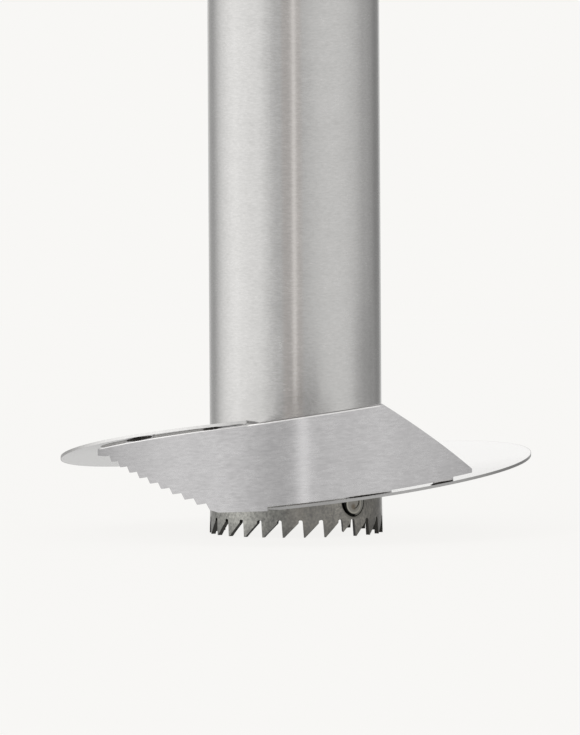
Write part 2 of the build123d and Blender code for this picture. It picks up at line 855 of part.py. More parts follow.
# Flat gasket between the tube's end and the hub's shelf
with BuildPart() as seat_gasket:
    with BuildSketch(Plane.XY.offset(shelf_bottom)):
        Circle(tube_radius)
        Circle(spigot_radius + shelf_hole_clearance, mode=Mode.SUBTRACT)
    extrude(amount=-gasket_thickness)
seat_gasket.part.label = "seat_gasket"
export_step(seat_gasket.part, "parts/seat_gasket.step")

# Spring clip, a bent strip with a riveted stud on each arm
clip_base = spigot_bottom + spigot_floor + clip_base_gap
clip_top = latch_height + clip_arm_above_stud
with BuildPart() as latch_clip:
    with BuildSketch(Plane.YZ):
        with BuildLine():
            outside = FilletPolyline(
                (-clip_face, clip_top),
                (-clip_face, clip_base),
                (clip_face, clip_base),
                (clip_face, clip_top),
                radius=clip_bend_radius + clip_thickness,
            )
            inside = FilletPolyline(
                (-clip_face + clip_thickness, clip_top),
                (-clip_face + clip_thickness, clip_base + clip_thickness),
                (clip_face - clip_thickness, clip_base + clip_thickness),
                (clip_face - clip_thickness, clip_top),
                radius=clip_bend_radius,
            )
            Line(outside @ 0, inside @ 0)
            Line(outside @ 1, inside @ 1)
        make_face()
    extrude(amount=clip_width / 2, both=True)
    for face_sign in (-1, 1):
        with BuildSketch(Plane.XZ.offset(face_sign * (clip_face - clip_thickness))):
            with Locations((0, latch_height)):
                Circle(stud_radius)
        extrude(amount=face_sign * (stud_tip - clip_face + clip_thickness))
    dome_edges = latch_clip.edges().filter_by(GeomType.CIRCLE).sort_by(Axis.Y)
    fillet([dome_edges[0], dome_edges[-1]], stud_dome)
    with BuildSketch(Plane.XY.offset(clip_base)):
        Circle(clip_screw_radius + screw_clearance)
    extrude(amount=clip_thickness, mode=Mode.SUBTRACT)
latch_clip.part.label = "latch_clip"
export_step(latch_clip.part, "parts/latch_clip.step")

# Screw that holds the clip to the spigot's floor
with BuildPart() as clip_screw:
    with BuildSketch(Plane.XY.offset(clip_base + clip_thickness)):
        Circle(clip_screw_head_radius)
    extrude(amount=clip_screw_head_height)
    with BuildSketch(Plane.XY.offset(clip_base + clip_thickness)):
        Circle(clip_screw_radius)
    extrude(amount=-clip_thickness - clip_base_gap - clip_screw_bite + screw_fit_gap)
    with BuildSketch(Plane.XY.offset(clip_base + clip_thickness + clip_screw_head_height)):
        Rectangle(drive_length, drive_width)
        Rectangle(drive_width, drive_length)
    extrude(amount=-drive_depth, mode=Mode.SUBTRACT)
clip_screw.part.label = "clip_screw"
export_step(clip_screw.part, "parts/clip_screw.step")

# Release buttons in the front and rear of the collar
with BuildPart() as release_button_front:
    with BuildSketch(Plane.XZ.offset(button_foot)):
        with Locations((0, latch_height)):
            Circle(button_flange_radius)
    extrude(amount=button_flange_thickness)
    with BuildSketch(Plane.XZ.offset(button_foot + button_flange_thickness)):
        with Locations((0, latch_height)):
            Circle(button_head_radius)
    extrude(amount=collar_radius + button_proud - button_foot - button_flange_thickness)
    face_edge = release_button_front.edges().filter_by(GeomType.CIRCLE).sort_by(Axis.Y)[0]
    fillet(face_edge, button_face_round)
release_button_front.part.label = "release_button_front"
export_step(release_button_front.part, "parts/release_button_front.step")
with BuildPart() as release_button_rear:
    mirror(release_button_front.part, about=Plane.XZ)
release_button_rear.part.label = "release_button_rear"
export_step(release_button_rear.part, "parts/release_button_rear.step")
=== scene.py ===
"""Looks of the pineapple slicer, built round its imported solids.

The steel tube, slicing disc and rim blade keep their solid shapes and get brushed steel. The
handle gets moulded plastic and soft pads. What the solids leave out, such as weld beads, grip ribs
and the ribs on the buttons, is added as surfaces of two parameters. Metres, +Z up, and the rim
blade faces -Y, as in the solids. Azimuths are in degrees from -Y, positive towards +X.
"""

from __future__ import annotations

import fnmatch
import json
import logging
import math
from dataclasses import dataclass
from enum import Enum
from functools import cached_property
from typing import Any, Callable, Iterable, Mapping, Sequence, Union

import bmesh
import bpy
import numpy as np
from mathutils import Matrix, Vector

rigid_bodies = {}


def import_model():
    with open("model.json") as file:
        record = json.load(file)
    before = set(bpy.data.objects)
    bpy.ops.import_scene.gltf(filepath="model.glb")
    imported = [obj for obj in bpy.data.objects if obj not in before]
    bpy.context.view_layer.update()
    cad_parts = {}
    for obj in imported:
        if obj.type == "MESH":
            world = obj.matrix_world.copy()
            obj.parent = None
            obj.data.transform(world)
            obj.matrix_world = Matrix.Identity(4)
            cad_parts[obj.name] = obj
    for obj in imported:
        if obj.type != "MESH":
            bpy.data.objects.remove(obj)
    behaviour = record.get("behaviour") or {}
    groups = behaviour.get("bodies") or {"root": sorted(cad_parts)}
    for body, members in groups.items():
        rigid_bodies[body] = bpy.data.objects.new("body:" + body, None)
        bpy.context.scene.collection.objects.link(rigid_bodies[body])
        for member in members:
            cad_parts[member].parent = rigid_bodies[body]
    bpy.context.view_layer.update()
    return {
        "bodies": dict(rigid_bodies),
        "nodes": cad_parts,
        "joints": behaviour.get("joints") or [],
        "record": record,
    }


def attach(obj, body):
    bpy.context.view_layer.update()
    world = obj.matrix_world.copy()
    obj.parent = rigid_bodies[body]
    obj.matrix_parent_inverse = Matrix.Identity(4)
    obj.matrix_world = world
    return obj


LOG = logging.getLogger("slicer")
MM = 0.001

Colour = tuple[float, float, float]
Place = tuple[float, float, float]
Socket = Any
Value = Union["Wire", float]
# The points of a surface, and the corner numbers of its faces.
Patch = tuple[np.ndarray, np.ndarray]

PALE_BACKDROP: Colour = (0.939, 0.931, 0.913)


# ---------------------------------------------------------------- shader maths


def operator(operation: str, swapped: bool = False) -> Callable[[Wire, Value], Wire]:
    """A method of Wire that adds the Math node of an operation on it and another value."""

    def method(self: Wire, other: Value) -> Wire:
        """Adds the node, with the other value first where the operator is a swapped one."""
        return self.maths(operation, *((other, self) if swapped else (self, other)))

    return method


class Wire:
    """A shader value that grows Math nodes as it is used in Python expressions."""

    def __init__(self, tree: bpy.types.NodeTree, socket: Socket) -> None:
        """Keeps the tree and the output socket that carries the value."""
        self.tree = tree
        self.socket = socket

    def maths(self, operation: str, *values: Value) -> Wire:
        """Adds one Math node, such as MULTIPLY, and gives the wire of its result."""
        node = self.tree.nodes.new("ShaderNodeMath")
        node.operation = operation
        for socket, value in zip(node.inputs, values):
            feed(socket, value)
        return Wire(self.tree, node.outputs[0])

    __add__ = operator("ADD")
    __sub__ = operator("SUBTRACT")
    __rsub__ = operator("SUBTRACT", swapped=True)
    __mul__ = operator("MULTIPLY")
    __truediv__ = operator("DIVIDE")
    __pow__ = operator("POWER")
    least = operator("MINIMUM")
    most = operator("MAXIMUM")
    bearing = operator("ARCTAN2")

    def root(self) -> Wire:
        """The square root of this value."""
        return self.maths("SQRT", self)

    def ramp(self, start: float, end: float, low: float = 0.0, high: float = 1.0) -> Wire:
        """Smooth step of this value, from low at the start to high at the end."""
        node = self.tree.nodes.new("ShaderNodeMapRange")
        node.interpolation_type = "SMOOTHSTEP"
        names = ("Value", "From Min", "From Max", "To Min", "To Max")
        for name, value in zip(names, (self, start, end, low, high)):
            feed(node.inputs[name], value)
        return Wire(self.tree, node.outputs["Result"])


def feed(socket: Socket, value: Any) -> None:
    """Gives an input socket a wire, another node's output or a plain value."""
    source = value.socket if isinstance(value, Wire) else value
    if isinstance(source, bpy.types.NodeSocket):
        socket.id_data.links.new(source, socket)
    else:
        socket.default_value = source


class NodeBench:
    """The node tree of one material or world."""

    def __init__(self, tree: bpy.types.NodeTree) -> None:
        """Takes the tree and empties it."""
        self.tree = tree
        tree.nodes.clear()

    def node(
        self,
        kind: str,
        settings: Mapping[str, Any] | None = None,
        inputs: Mapping[Union[str, int], Any] | None = None,
    ) -> bpy.types.Node:
        """Adds any node.

        Args:
            kind: The node's type, without the ShaderNode before it.
            settings: Its own settings, which are set first.
            inputs: Values, wires or sockets for its input sockets, by name or number.

        Returns:
            The node.
        """
        made = self.tree.nodes.new("ShaderNode" + kind)
        for name, value in (settings or {}).items():
            setattr(made, name, value)
        for name, value in (inputs or {}).items():
            feed(made.inputs[name], value)
        return made

    def split(self, vector: Socket) -> tuple[Wire, ...]:
        """The three parts of a vector."""
        parts = self.node("SeparateXYZ", inputs={0: vector}).outputs
        return tuple(Wire(self.tree, part) for part in parts)

    @cached_property
    def place(self) -> Socket:
        """The point's place in the part's own frame, in metres."""
        return self.node("TexCoord").outputs["Object"]

    @cached_property
    def axes(self) -> tuple[Wire, ...]:
        """The three parts of the point's place."""
        return self.split(self.place)

    @cached_property
    def radius(self) -> Wire:
        """The point's distance from the tube's axis, in metres."""
        x, y, _ = self.axes
        return (x**2 + y**2).root()

    @cached_property
    def azimuth(self) -> Wire:
        """The point's azimuth, in radians."""
        x, y, _ = self.axes
        return x.bearing(y * -1.0)

    @cached_property
    def normal(self) -> Socket:
        """The face's normal."""
        return self.node("NewGeometry").outputs["Normal"]

    @cached_property
    def outwards(self) -> Wire:
        """How far the face points away from the tube's axis, from -1 to 1."""
        across, along, _ = self.split(self.normal)
        x, y, _ = self.axes
        return (across * x + along * y) / self.radius

    def azimuth_ramp(self, start: float, end: float, low: float = 0.0, high: float = 1.0) -> Wire:
        """Smooth step of the azimuth, with its start and end in degrees."""
        return self.azimuth.ramp(math.radians(start), math.radians(end), low, high)

    def mapped(self, scale: Sequence[float], turn: Sequence[float] = (0, 0, 0)) -> Socket:
        """The place turned by three angles in degrees, then scaled along each axis."""
        angles = tuple(math.radians(angle) for angle in turn)
        turned = self.node("Mapping", inputs={"Vector": self.place, "Rotation": angles}).outputs[0]
        return self.node("Mapping", inputs={"Vector": turned, "Scale": tuple(scale)}).outputs[0]

    def noise(self, vector: Socket, detail: float = 2.0, roughness: float = 0.5) -> Wire:
        """Cloudy noise from 0 to 1, one blot to each unit of the vector."""
        inputs = {"Vector": vector, "Scale": 1.0, "Detail": detail, "Roughness": roughness}
        return Wire(self.tree, self.node("TexNoise", inputs=inputs).outputs["Fac"])

    def cells(self, vector: Socket) -> Wire:
        """Smoothed distance to the nearest of scattered points, one to each unit."""
        inputs = {"Vector": vector, "Scale": 1.0}
        node = self.node("TexVoronoi", {"feature": "SMOOTH_F1"}, inputs)
        return Wire(self.tree, node.outputs["Distance"])

    def ray(self, kind: str) -> Wire:
        """Whether the ray is of a kind, such as Camera: 1 if so and 0 if not."""
        return Wire(self.tree, self.node("LightPath").outputs[f"Is {kind} Ray"])

    def blend(self, mask: Value, low: Any, high: Any) -> Socket:
        """Colour between two colours or colour sockets, by a mask from 0 to 1."""
        inputs = {0: mask, 6: as_colour(low), 7: as_colour(high)}
        return self.node("Mix", {"data_type": "RGBA"}, inputs).outputs[2]

    def scaled(self, colour: Socket, factor: Wire) -> Socket:
        """A colour times a number."""
        inputs = {0: colour, "Scale": factor}
        return self.node("VectorMath", {"operation": "SCALE"}, inputs).outputs[0]

    def times(self, colour: Socket, other: Socket) -> Socket:
        """A colour times another, part by part."""
        inputs = {0: colour, 1: other}
        return self.node("VectorMath", {"operation": "MULTIPLY"}, inputs).outputs[0]

    def relief(
        self, height: Wire, depth: float, strength: float, under: Socket | None = None
    ) -> Socket:
        """Normal of a surface raised by a height from 0 to 1, over another normal.

        Args:
            height: The height.
            depth: Metres between 0 and 1.
            strength: How much of the relief shows.
            under: The normal that this relief is laid over, if not the face's own.

        Returns:
            The normal's socket.
        """
        inputs = {"Height": height, "Distance": depth, "Strength": strength}
        if under is not None:
            inputs["Normal"] = under
        return self.node("Bump", inputs=inputs).outputs["Normal"]

    def close(self, surface: Socket) -> None:
        """Joins a shader to the material's output."""
        self.node("OutputMaterial", inputs={"Surface": surface})


def as_colour(value: Any) -> Any:
    """A colour of three numbers as the four that a socket takes; a socket stays as it is."""
    return (*value, 1.0) if isinstance(value, tuple) else value


# ------------------------------------------------------------------- finishes

# Noise blots to a metre along each axis: smudges and small blots on steel, places rubbed by
# hands, dust on rubber, and turning marks.
CLOUD_SCALE = (300.0, 300.0, 260.0)
BLOT_SCALE = (2400.0, 2400.0, 2200.0)
HANDLING_SCALE = (38.0, 46.0, 52.0)
DUST_SCALE = (160.0, 160.0, 130.0)
TURNING_SCALE = (900.0, 900.0, 5200.0)

# The darker foot of the tube: a mottled film, with painted shade below the disc. Its hue changes
# between two azimuths, and its level between two azimuths by the two factors after them, a painted
# light that lightens its two sides. Below them, the near-black sawn faces and the inside of the
# tube, which is painted shade.
FOOT_FILM_SHADE_LEFT: Colour = (0.230, 0.229, 0.211)
FOOT_FILM_SHADE_RIGHT: Colour = (0.184, 0.176, 0.157)
FOOT_TONE_HUE = (-9.0, 3.0)
FOOT_LIGHT_LEFT = (-24.0, -34.0, 1.0, 1.22)
FOOT_LIGHT_RIGHT = (24.0, 32.0, 1.0, 1.15)
SAWN_FACE: Colour = (0.022, 0.021, 0.019)
TUBE_INSIDE_SHADE: Colour = (0.040, 0.038, 0.034)

# The disc's sheared rim, with the azimuths and factors of the painted shade that darkens its ends.
SHEARED_DULL: Colour = (0.60, 0.595, 0.59)
SHEARED_BRIGHT: Colour = (0.80, 0.795, 0.79)
RIM_SHADE_LEFT = (-82.0, -66.0, 0.72, 1.0)
RIM_SHADE_RIGHT = (-11.0, -7.0, 1.0, 0.60)

# A spot weld's marks: soot with painted shade round it, a painted highlight on the edge of its
# face and a painted shadow crescent. Each fades in between two distances, which are shares of the
# weld's size.
SOOT_AND_SHADE: Colour = (0.162, 0.158, 0.142)
SOOT_AND_SHADE_FADE = (1.7, 1.36)
WELD_DULL: Colour = (0.19, 0.185, 0.17)
WELD_BRIGHT: Colour = (0.27, 0.26, 0.235)
WELD_FADE = (1.04, 0.96)
WELD_EDGE_HIGHLIGHT: Colour = (0.34, 0.33, 0.29)
WELD_EDGE_HIGHLIGHT_FADE = (0.78, 0.92)
WELD_BURNT: Colour = (0.13, 0.108, 0.080)
CRESCENT_SHADOW: Colour = (0.010, 0.010, 0.009)
CRESCENT_SHADOW_FADE = (1.38, 1.30)


class Grain(Enum):
    """Which way the brush lines of a steel sheet run."""

    ROUND_THE_TUBE = "round"
    ALONG_THE_PLATE = "plate"
    ACROSS_THE_DISC = "disc"


def grey(level: float) -> Colour:
    """A tone that changes how light a colour is and keeps its hue."""
    return (level, level, level)


@dataclass(frozen=True)
class PaintedLightBand:
    """A step of painted light or shade in the steel's colour.

    It goes from one azimuth to another, and from one height in metres to another where heights
    are given.
    """

    start: float
    end: float
    tone: Colour
    top: float | None = None
    bottom: float = 0.0

    def mask(self, bench: NodeBench) -> Wire:
        """How far the step is taken, from 0 to 1."""
        step = bench.azimuth_ramp(self.start, self.end)
        return step if self.top is None else step * bench.axes[2].ramp(self.top, self.bottom)


def new_material(name: str) -> tuple[NodeBench, bpy.types.Material]:
    """A new material of that name and the bench of its emptied node tree."""
    made = bpy.data.materials.new(name)
    made.use_nodes = True
    return NodeBench(made.node_tree), made


def bands(*rows: tuple[Any, ...]) -> tuple[PaintedLightBand, ...]:
    """A table of bands of painted light and shade, one to a row."""
    return tuple(PaintedLightBand(*row) for row in rows)


@dataclass(frozen=True)
class Finish:
    """A look whose Principled shader's inputs come from nodes."""

    name: str

    def inputs(self, bench: NodeBench) -> dict[str, Any]:
        """The shader's inputs, by name."""
        raise NotImplementedError

    def material(self) -> bpy.types.Material:
        """A new material with this look."""
        bench, made = new_material(self.name)
        bench.close(bench.node("BsdfPrincipled", inputs=self.inputs(bench)).outputs[0])
        return made


@dataclass(frozen=True)
class BrushedSteel(Finish):
    """Stainless sheet with fine brush lines, faint smudges and the marks of its spot welds, and
    the painted light and shade of some of its parts.
    """

    grain: Grain
    tint: Colour
    shade: Colour
    roughness: float
    line_pitch: float
    line_length: float
    line_contrast: float = 1.6
    line_depth: float = 0.004 * MM
    smudge: float = 0.25
    stretch: float = 0.0
    welds: tuple[Place, ...] = ()
    weld_size: float = 1.7 * MM
    grime_and_shade_top: float = 0.0
    tooth_height: float = 3.0 * MM
    normal_turn: float = 0.0
    painted_light_bands: tuple[PaintedLightBand, ...] = ()
    rim_radius: float = 0.0

    def brush_scale(self) -> tuple[float, float, float]:
        """Noise blots to a metre along each axis: few along the lines and many across them."""
        across, along = 1 / self.line_pitch, 1 / self.line_length
        if self.grain is Grain.ACROSS_THE_DISC:
            return along, across, along
        return along, along, across

    def brush_turn(self) -> tuple[float, float, float]:
        """How far the lines are turned from level, in degrees."""
        return (0.0, 3.5, 0.0) if self.grain is Grain.ALONG_THE_PLATE else (0.0, 0.0, 0.0)

    def inputs(self, bench: NodeBench) -> dict[str, Any]:
        """Colour, roughness and relief that follow the brush lines."""
        scale, turn = self.brush_scale(), self.brush_turn()
        fine = bench.noise(bench.mapped(scale, turn), detail=3.0, roughness=0.65)
        broad = bench.noise(bench.mapped(tuple(part / 6 for part in scale), turn), detail=2.0)
        lines = fine * 0.85 + broad * 0.15
        cloud = bench.noise(bench.mapped(CLOUD_SCALE), detail=4.0, roughness=0.6)
        blots = bench.noise(bench.mapped(BLOT_SCALE), detail=3.0, roughness=0.7)
        tone = (lines - 0.5) * self.line_contrast + (cloud - 0.5) * self.smudge + 0.5
        colour = bench.blend(tone.ramp(0.0, 1.0), self.shade, self.tint)
        rough = (lines - 0.5) * 0.12 + (cloud - 0.5) * 0.10 + self.roughness
        # Bands of painted light and shade multiply the colour by azimuth.
        for band in self.painted_light_bands:
            colour = bench.times(colour, bench.blend(band.mask(bench), grey(1.0), band.tone))
        # The foot's film and painted shade.
        if self.grime_and_shade_top:
            colour, grime_and_shade = self.grime_and_shade(bench, colour, cloud, blots)
            rough = rough + grime_and_shade * 0.08
        # Painted light on the disc, and painted shade on its rim's ends.
        if self.rim_radius:
            colour, cut = self.rim(bench, colour, blots)
            rough = rough + cut * 0.12
        # Weld marks, with their painted shade, highlight and shadow.
        for weld in self.welds:
            colour = self.weld_mark(bench, colour, blots, weld)
        normal = bench.normal
        if self.normal_turn:
            turned = {"Vector": normal, "Angle": math.radians(self.normal_turn)}
            normal = bench.node("VectorRotate", {"rotation_type": "Z_AXIS"}, turned).outputs[0]
        return {
            "Base Color": colour,
            "Metallic": 1.0,
            "Roughness": rough.most(0.12).least(0.7),
            "Normal": bench.relief(fine, self.line_depth, 0.6, under=normal),
            "Anisotropic": self.stretch,
            "Anisotropic Rotation": 0.25,
        }

    def grime_and_shade(
        self, bench: NodeBench, colour: Socket, cloud: Wire, blots: Wire
    ) -> tuple[Socket, Wire]:
        """Lays the dark, mottled foot of the tube on a colour: a film, with painted shade below
        the disc.

        It is browner on the right, lighter towards both sides by painted light, darker towards the
        tips, and darkest on the sawn faces and inside the tube, where the inside is painted shade.

        Returns:
            The colour with the film and painted shade, and their mask.
        """
        height, top, teeth = bench.axes[2], self.grime_and_shade_top, self.tooth_height
        grime_and_shade = (height.ramp(top * 1.25, top * 0.75) * (blots * 0.4 + 0.75)).least(1.0)
        foot_tone = bench.blend(bench.azimuth_ramp(*FOOT_TONE_HUE), FOOT_FILM_SHADE_LEFT, FOOT_FILM_SHADE_RIGHT)
        mottled = (cloud - 0.5) * 1.6 + (blots - 0.5) * 3.2 + 1.0
        level = (mottled * height.ramp(0.0, teeth, 0.62, 1.0)).most(0.2)
        # Painted light that lightens the foot's two sides.
        level = level * bench.azimuth_ramp(*FOOT_LIGHT_LEFT) * bench.azimuth_ramp(*FOOT_LIGHT_RIGHT)
        colour = bench.blend(grime_and_shade * 0.94, colour, bench.scaled(foot_tone, level))
        sawn = bench.outwards.ramp(0.75, 0.45) * height.ramp(teeth * 1.15, teeth * 1.05)
        colour = bench.blend(sawn * 0.95, colour, SAWN_FACE)
        # Painted shade inside the tube.
        inside_shade = bench.outwards.ramp(-0.3, -0.7) * height.ramp(top * 3, top)
        return bench.blend(inside_shade * 0.95, colour, TUBE_INSIDE_SHADE), grime_and_shade

    def rim(self, bench: NodeBench, colour: Socket, blots: Wire) -> tuple[Socket, Wire]:
        """Paints light on the disc, lighter towards the back, and tints its sheared rim by
        azimuth, with painted shade on its two ends.

        Returns:
            The tinted colour, and the mask of the rim.
        """
        # Painted reflection: lighter towards the back, darker at the front.
        colour = bench.scaled(colour, bench.axes[1].ramp(-27 * MM, 0.0, 0.86, 1.08))
        cut = bench.radius.ramp(self.rim_radius - 0.15 * MM, self.rim_radius - 0.05 * MM)
        sheared = bench.blend(blots, SHEARED_DULL, SHEARED_BRIGHT)
        # Painted shade on the rim's two ends.
        level = bench.azimuth_ramp(*RIM_SHADE_LEFT) * bench.azimuth_ramp(*RIM_SHADE_RIGHT)
        return bench.blend(cut, colour, bench.scaled(sheared, level)), cut

    def weld_mark(self, bench: NodeBench, colour: Socket, blots: Wire, weld: Place) -> Socket:
        """Lays a spot weld's marks on a colour.

        They are soot with painted shade round it, its dished face with a painted highlight on its
        edge, a painted shadow crescent on its left and lower side, and a burnt middle.
        """
        x, _, z = bench.axes
        apart = distance(bench, weld)

        def faded(shares: tuple[float, float]) -> Wire:
            """The distance's smooth step between two shares of the weld's size."""
            return apart.ramp(self.weld_size * shares[0], self.weld_size * shares[1])

        # Soot and painted shade round the weld.
        soot_and_shade = (faded(SOOT_AND_SHADE_FADE) * (blots * 0.5 + 0.75)).least(1.0)
        face = faded(WELD_FADE)
        side = (x - weld[0]) * -0.85 + (z - weld[2]) * -0.53
        # Painted shadow crescent on the left and lower side.
        crescent_shadow = faded(CRESCENT_SHADOW_FADE) * (1 - face) * side.ramp(0.6 * MM, 1.3 * MM)
        burnt_middle = (weld[0], weld[1], weld[2] - 0.45 * MM)
        burnt = distance(bench, burnt_middle).ramp(0.85 * MM, 0.3 * MM)
        colour = bench.blend(soot_and_shade * 0.94, colour, SOOT_AND_SHADE)
        colour = bench.blend(face, colour, bench.blend(blots, WELD_DULL, WELD_BRIGHT))
        # Painted highlight on the face's edge.
        colour = bench.blend(face * faded(WELD_EDGE_HIGHLIGHT_FADE), colour, WELD_EDGE_HIGHLIGHT)
        colour = bench.blend(burnt * 0.9, colour, WELD_BURNT)
        return bench.blend(crescent_shadow, colour, CRESCENT_SHADOW)


def distance(bench: NodeBench, point: Place) -> Wire:
    """How far the surface is from a fixed point, in metres."""
    x, y, z = bench.axes
    return ((x - point[0]) ** 2 + (y - point[1]) ** 2 + (z - point[2]) ** 2).root()


@dataclass(frozen=True)
class MouldedPlastic(Finish):
    """Plastic with the fine pitted skin of an eroded mould, smoother where hands rub it."""

    colour: Colour
    worn: Colour
    roughness: float
    pit_pitch: float = 0.35 * MM
    pit_depth: float = 0.012 * MM

    def inputs(self, bench: NodeBench) -> dict[str, Any]:
        """Pits, slow changes of tone, and a satin shine on the rubbed places."""
        pits = bench.cells(bench.mapped((1 / self.pit_pitch,) * 3))
        fine = bench.noise(bench.mapped((2.2 / self.pit_pitch,) * 3), detail=2.0)
        handling = bench.noise(bench.mapped(HANDLING_SCALE), detail=4.0, roughness=0.6)
        rubbed = handling.ramp(0.46, 0.72)
        return {
            "Base Color": bench.blend(rubbed * 0.6 + (fine - 0.5) * 0.2, self.colour, self.worn),
            "Roughness": self.roughness - rubbed * 0.12 + (fine - 0.5) * 0.08,
            "Normal": bench.relief(pits * 0.7 + fine * 0.3, self.pit_depth, 0.8),
            "IOR": 1.46,
        }


@dataclass(frozen=True)
class SoftRubber(Finish):
    """Matt rubber, with a dusty bloom and a grain finer than the plastic's."""

    colour: Colour
    bloom: Colour
    roughness: float = 0.72
    grain_pitch: float = MM / 5.2
    grain_depth: float = 0.01 * MM

    def inputs(self, bench: NodeBench) -> dict[str, Any]:
        """A soft grain and uneven bloom."""
        grain = bench.noise(bench.mapped((1 / self.grain_pitch,) * 3), detail=2.0)
        dust = bench.noise(bench.mapped(DUST_SCALE), detail=4.0, roughness=0.62)
        rough = (grain - 0.5) * 0.1 + (dust - 0.5) * 0.16 + self.roughness
        return {
            "Base Color": bench.blend(dust.ramp(0.4, 0.75) * 0.7, self.colour, self.bloom),
            "Roughness": rough.least(0.95),
            "Normal": bench.relief(grain, self.grain_depth, 0.7),
            "IOR": 1.5,
        }


@dataclass(frozen=True)
class PlatedSteel(Finish):
    """Small turned or pressed steel, with turning marks round the Z axis and dull patches."""

    colour: Colour
    dull: Colour
    roughness: float = 0.34
    mark_depth: float = 0.004 * MM

    def inputs(self, bench: NodeBench) -> dict[str, Any]:
        """Fine marks and slightly uneven plating."""
        marks = bench.noise(bench.mapped(TURNING_SCALE), detail=2.0)
        patches = bench.noise(bench.mapped((650.0,) * 3), detail=3.0)
        rough = (patches - 0.5) * 0.22 + (marks - 0.5) * 0.1 + self.roughness
        return {
            "Base Color": bench.blend(patches.ramp(0.35, 0.7), self.colour, self.dull),
            "Metallic": 1.0,
            "Roughness": rough.most(0.15),
            "Normal": bench.relief(marks, self.mark_depth, 0.6),
        }


def dress(piece: bpy.types.Object, material: bpy.types.Material) -> None:
    """Puts one material in every slot of a piece."""
    if not piece.material_slots:
        piece.data.materials.append(material)
    for slot in piece.material_slots:
        slot.material = material


# ------------------------------------------------------------ surfaces of u, v

# Points nearer to each other than this, in metres, are one point.
DOUBLED = 1e-7


def grid_faces(rows: int, columns: int, closed: tuple[bool, bool]) -> np.ndarray:
    """Corner numbers of the quads of a grid of rows times columns points."""
    i, j = np.meshgrid(
        np.arange(rows if closed[0] else rows - 1),
        np.arange(columns if closed[1] else columns - 1),
        indexing="ij",
    )
    next_i, next_j = (i + 1) % rows, (j + 1) % columns
    corners = ((i, j), (next_i, j), (next_i, next_j), (i, next_j))
    return np.stack([row * columns + column for row, column in corners], axis=-1).reshape(-1, 4)


def mesh_piece(name: str, points: np.ndarray, faces: np.ndarray) -> bpy.types.Object:
    """Makes a smooth mesh object of points and quads, and turns its faces outwards.

    Doubled points are merged and faces with no area are dropped.

    Args:
        name: The object's name.
        points: Places in metres, of shape (count, 3).
        faces: Corner numbers, of shape (count, 4).

    Returns:
        The object, linked to the scene.
    """
    mesh = bpy.data.meshes.new(name)
    mesh.from_pydata(points.tolist(), [], faces.tolist())
    mesh.polygons.foreach_set("use_smooth", np.full(len(mesh.polygons), True))
    work = bmesh.new()
    work.from_mesh(mesh)
    bmesh.ops.remove_doubles(work, verts=work.verts, dist=DOUBLED)
    bmesh.ops.dissolve_degenerate(work, edges=work.edges, dist=DOUBLED)
    bmesh.ops.recalc_face_normals(work, faces=work.faces)
    work.to_mesh(mesh)
    work.free()
    return placed(name, mesh)


def placed(name: str, data: Any) -> bpy.types.Object:
    """A new object of some data, linked to the scene."""
    made = bpy.data.objects.new(name, data)
    bpy.context.scene.collection.objects.link(made)
    return made


def add_piece(
    name: str, patches: Iterable[Patch], material: bpy.types.Material, body: str, slot: str
) -> bpy.types.Object:
    """Makes one dressed piece of several patches.

    Args:
        name: The piece's name.
        patches: Its surfaces.
        material: Its look.
        body: The body that it rides on.
        slot: The record's material slot that it stands in; not used.

    Returns:
        The piece.
    """
    points, faces, start = [], [], 0
    for some_points, some_faces in patches:
        points.append(some_points.reshape(-1, 3))
        faces.append(some_faces + start)
        start += len(points[-1])
    piece = mesh_piece(name, np.concatenate(points), np.concatenate(faces))
    dress(piece, material)
    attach(piece, body)
    return piece


def tube_grid(rows: int, columns: int) -> tuple[np.ndarray, np.ndarray, np.ndarray]:
    """Grids for a tube: u from 0 to 1 along it, and the cosine and sine of the turn round it."""
    turn = np.linspace(0, 2 * np.pi, columns, endpoint=False)
    u, v = np.meshgrid(np.linspace(0, 1, rows), turn, indexing="ij")
    return u, np.cos(v), np.sin(v)


def tube(points: np.ndarray) -> Patch:
    """A grid of points whose sections are closed into rings."""
    return points, grid_faces(*points.shape[:2], (False, True))


def rounded_ends(u: np.ndarray, power: int) -> np.ndarray:
    """A tube's fullness: 1 along its middle and 0 at both ends, rounder for a lower power."""
    return np.sqrt(np.clip(1 - (2 * u - 1) ** power, 0, 1))


def at_azimuth(radius: Any, azimuth: Any, height: Any) -> np.ndarray:
    """Places on a cylinder round the tube."""
    turn = np.radians(azimuth)
    x, y = radius * np.sin(turn), -radius * np.cos(turn)
    return np.stack(np.broadcast_arrays(x, y, height), axis=-1)


# -------------------------------------------------------------- sub-assemblies

# What turns an azimuth into the disc's own angle, at the disc's upper and its lower end.
UPPER_END = 270.0
LOWER_END = -90.0

# Painted light and shade on the tube and the plate: painted reflections, highlights and shade by
# azimuth, and by height where heights are given, each band a factor on the steel's colour.
TUBE_PAINTED_LIGHT = bands(
    (-43.0, -37.0, grey(0.955)),
    (-13.0, -9.0, grey(1.047)),
    (-10.0, -6.0, (1.0, 0.965, 0.945)),
    (3.0, 7.0, (1.0, 1.036, 1.058)),
    (52.0, 59.0, grey(1.09)),
    (62.0, 71.0, grey(0.75)),
    (-13.0, -5.0, grey(1.18), 31 * MM, 22 * MM),
    (16.0, 24.0, grey(0.85), 31 * MM, 22 * MM),
    (-20.0, -12.0, grey(1.24), 24.5 * MM, 21 * MM),
    (13.0, 20.0, grey(0.82), 24.5 * MM, 21 * MM),
    (38.0, 48.0, grey(0.84), 50 * MM, 28 * MM),
    (60.0, 68.0, grey(1.25), 50 * MM, 28 * MM),
)
PLATE_PAINTED_LIGHT = bands(
    (-12.0, -24.0, grey(0.80)),
    (-26.0, -44.0, grey(0.85)),
    (16.0, 6.0, grey(1.11)),
    (19.0, 30.0, grey(0.90)),
    (5.0, -3.0, grey(0.90)),
)

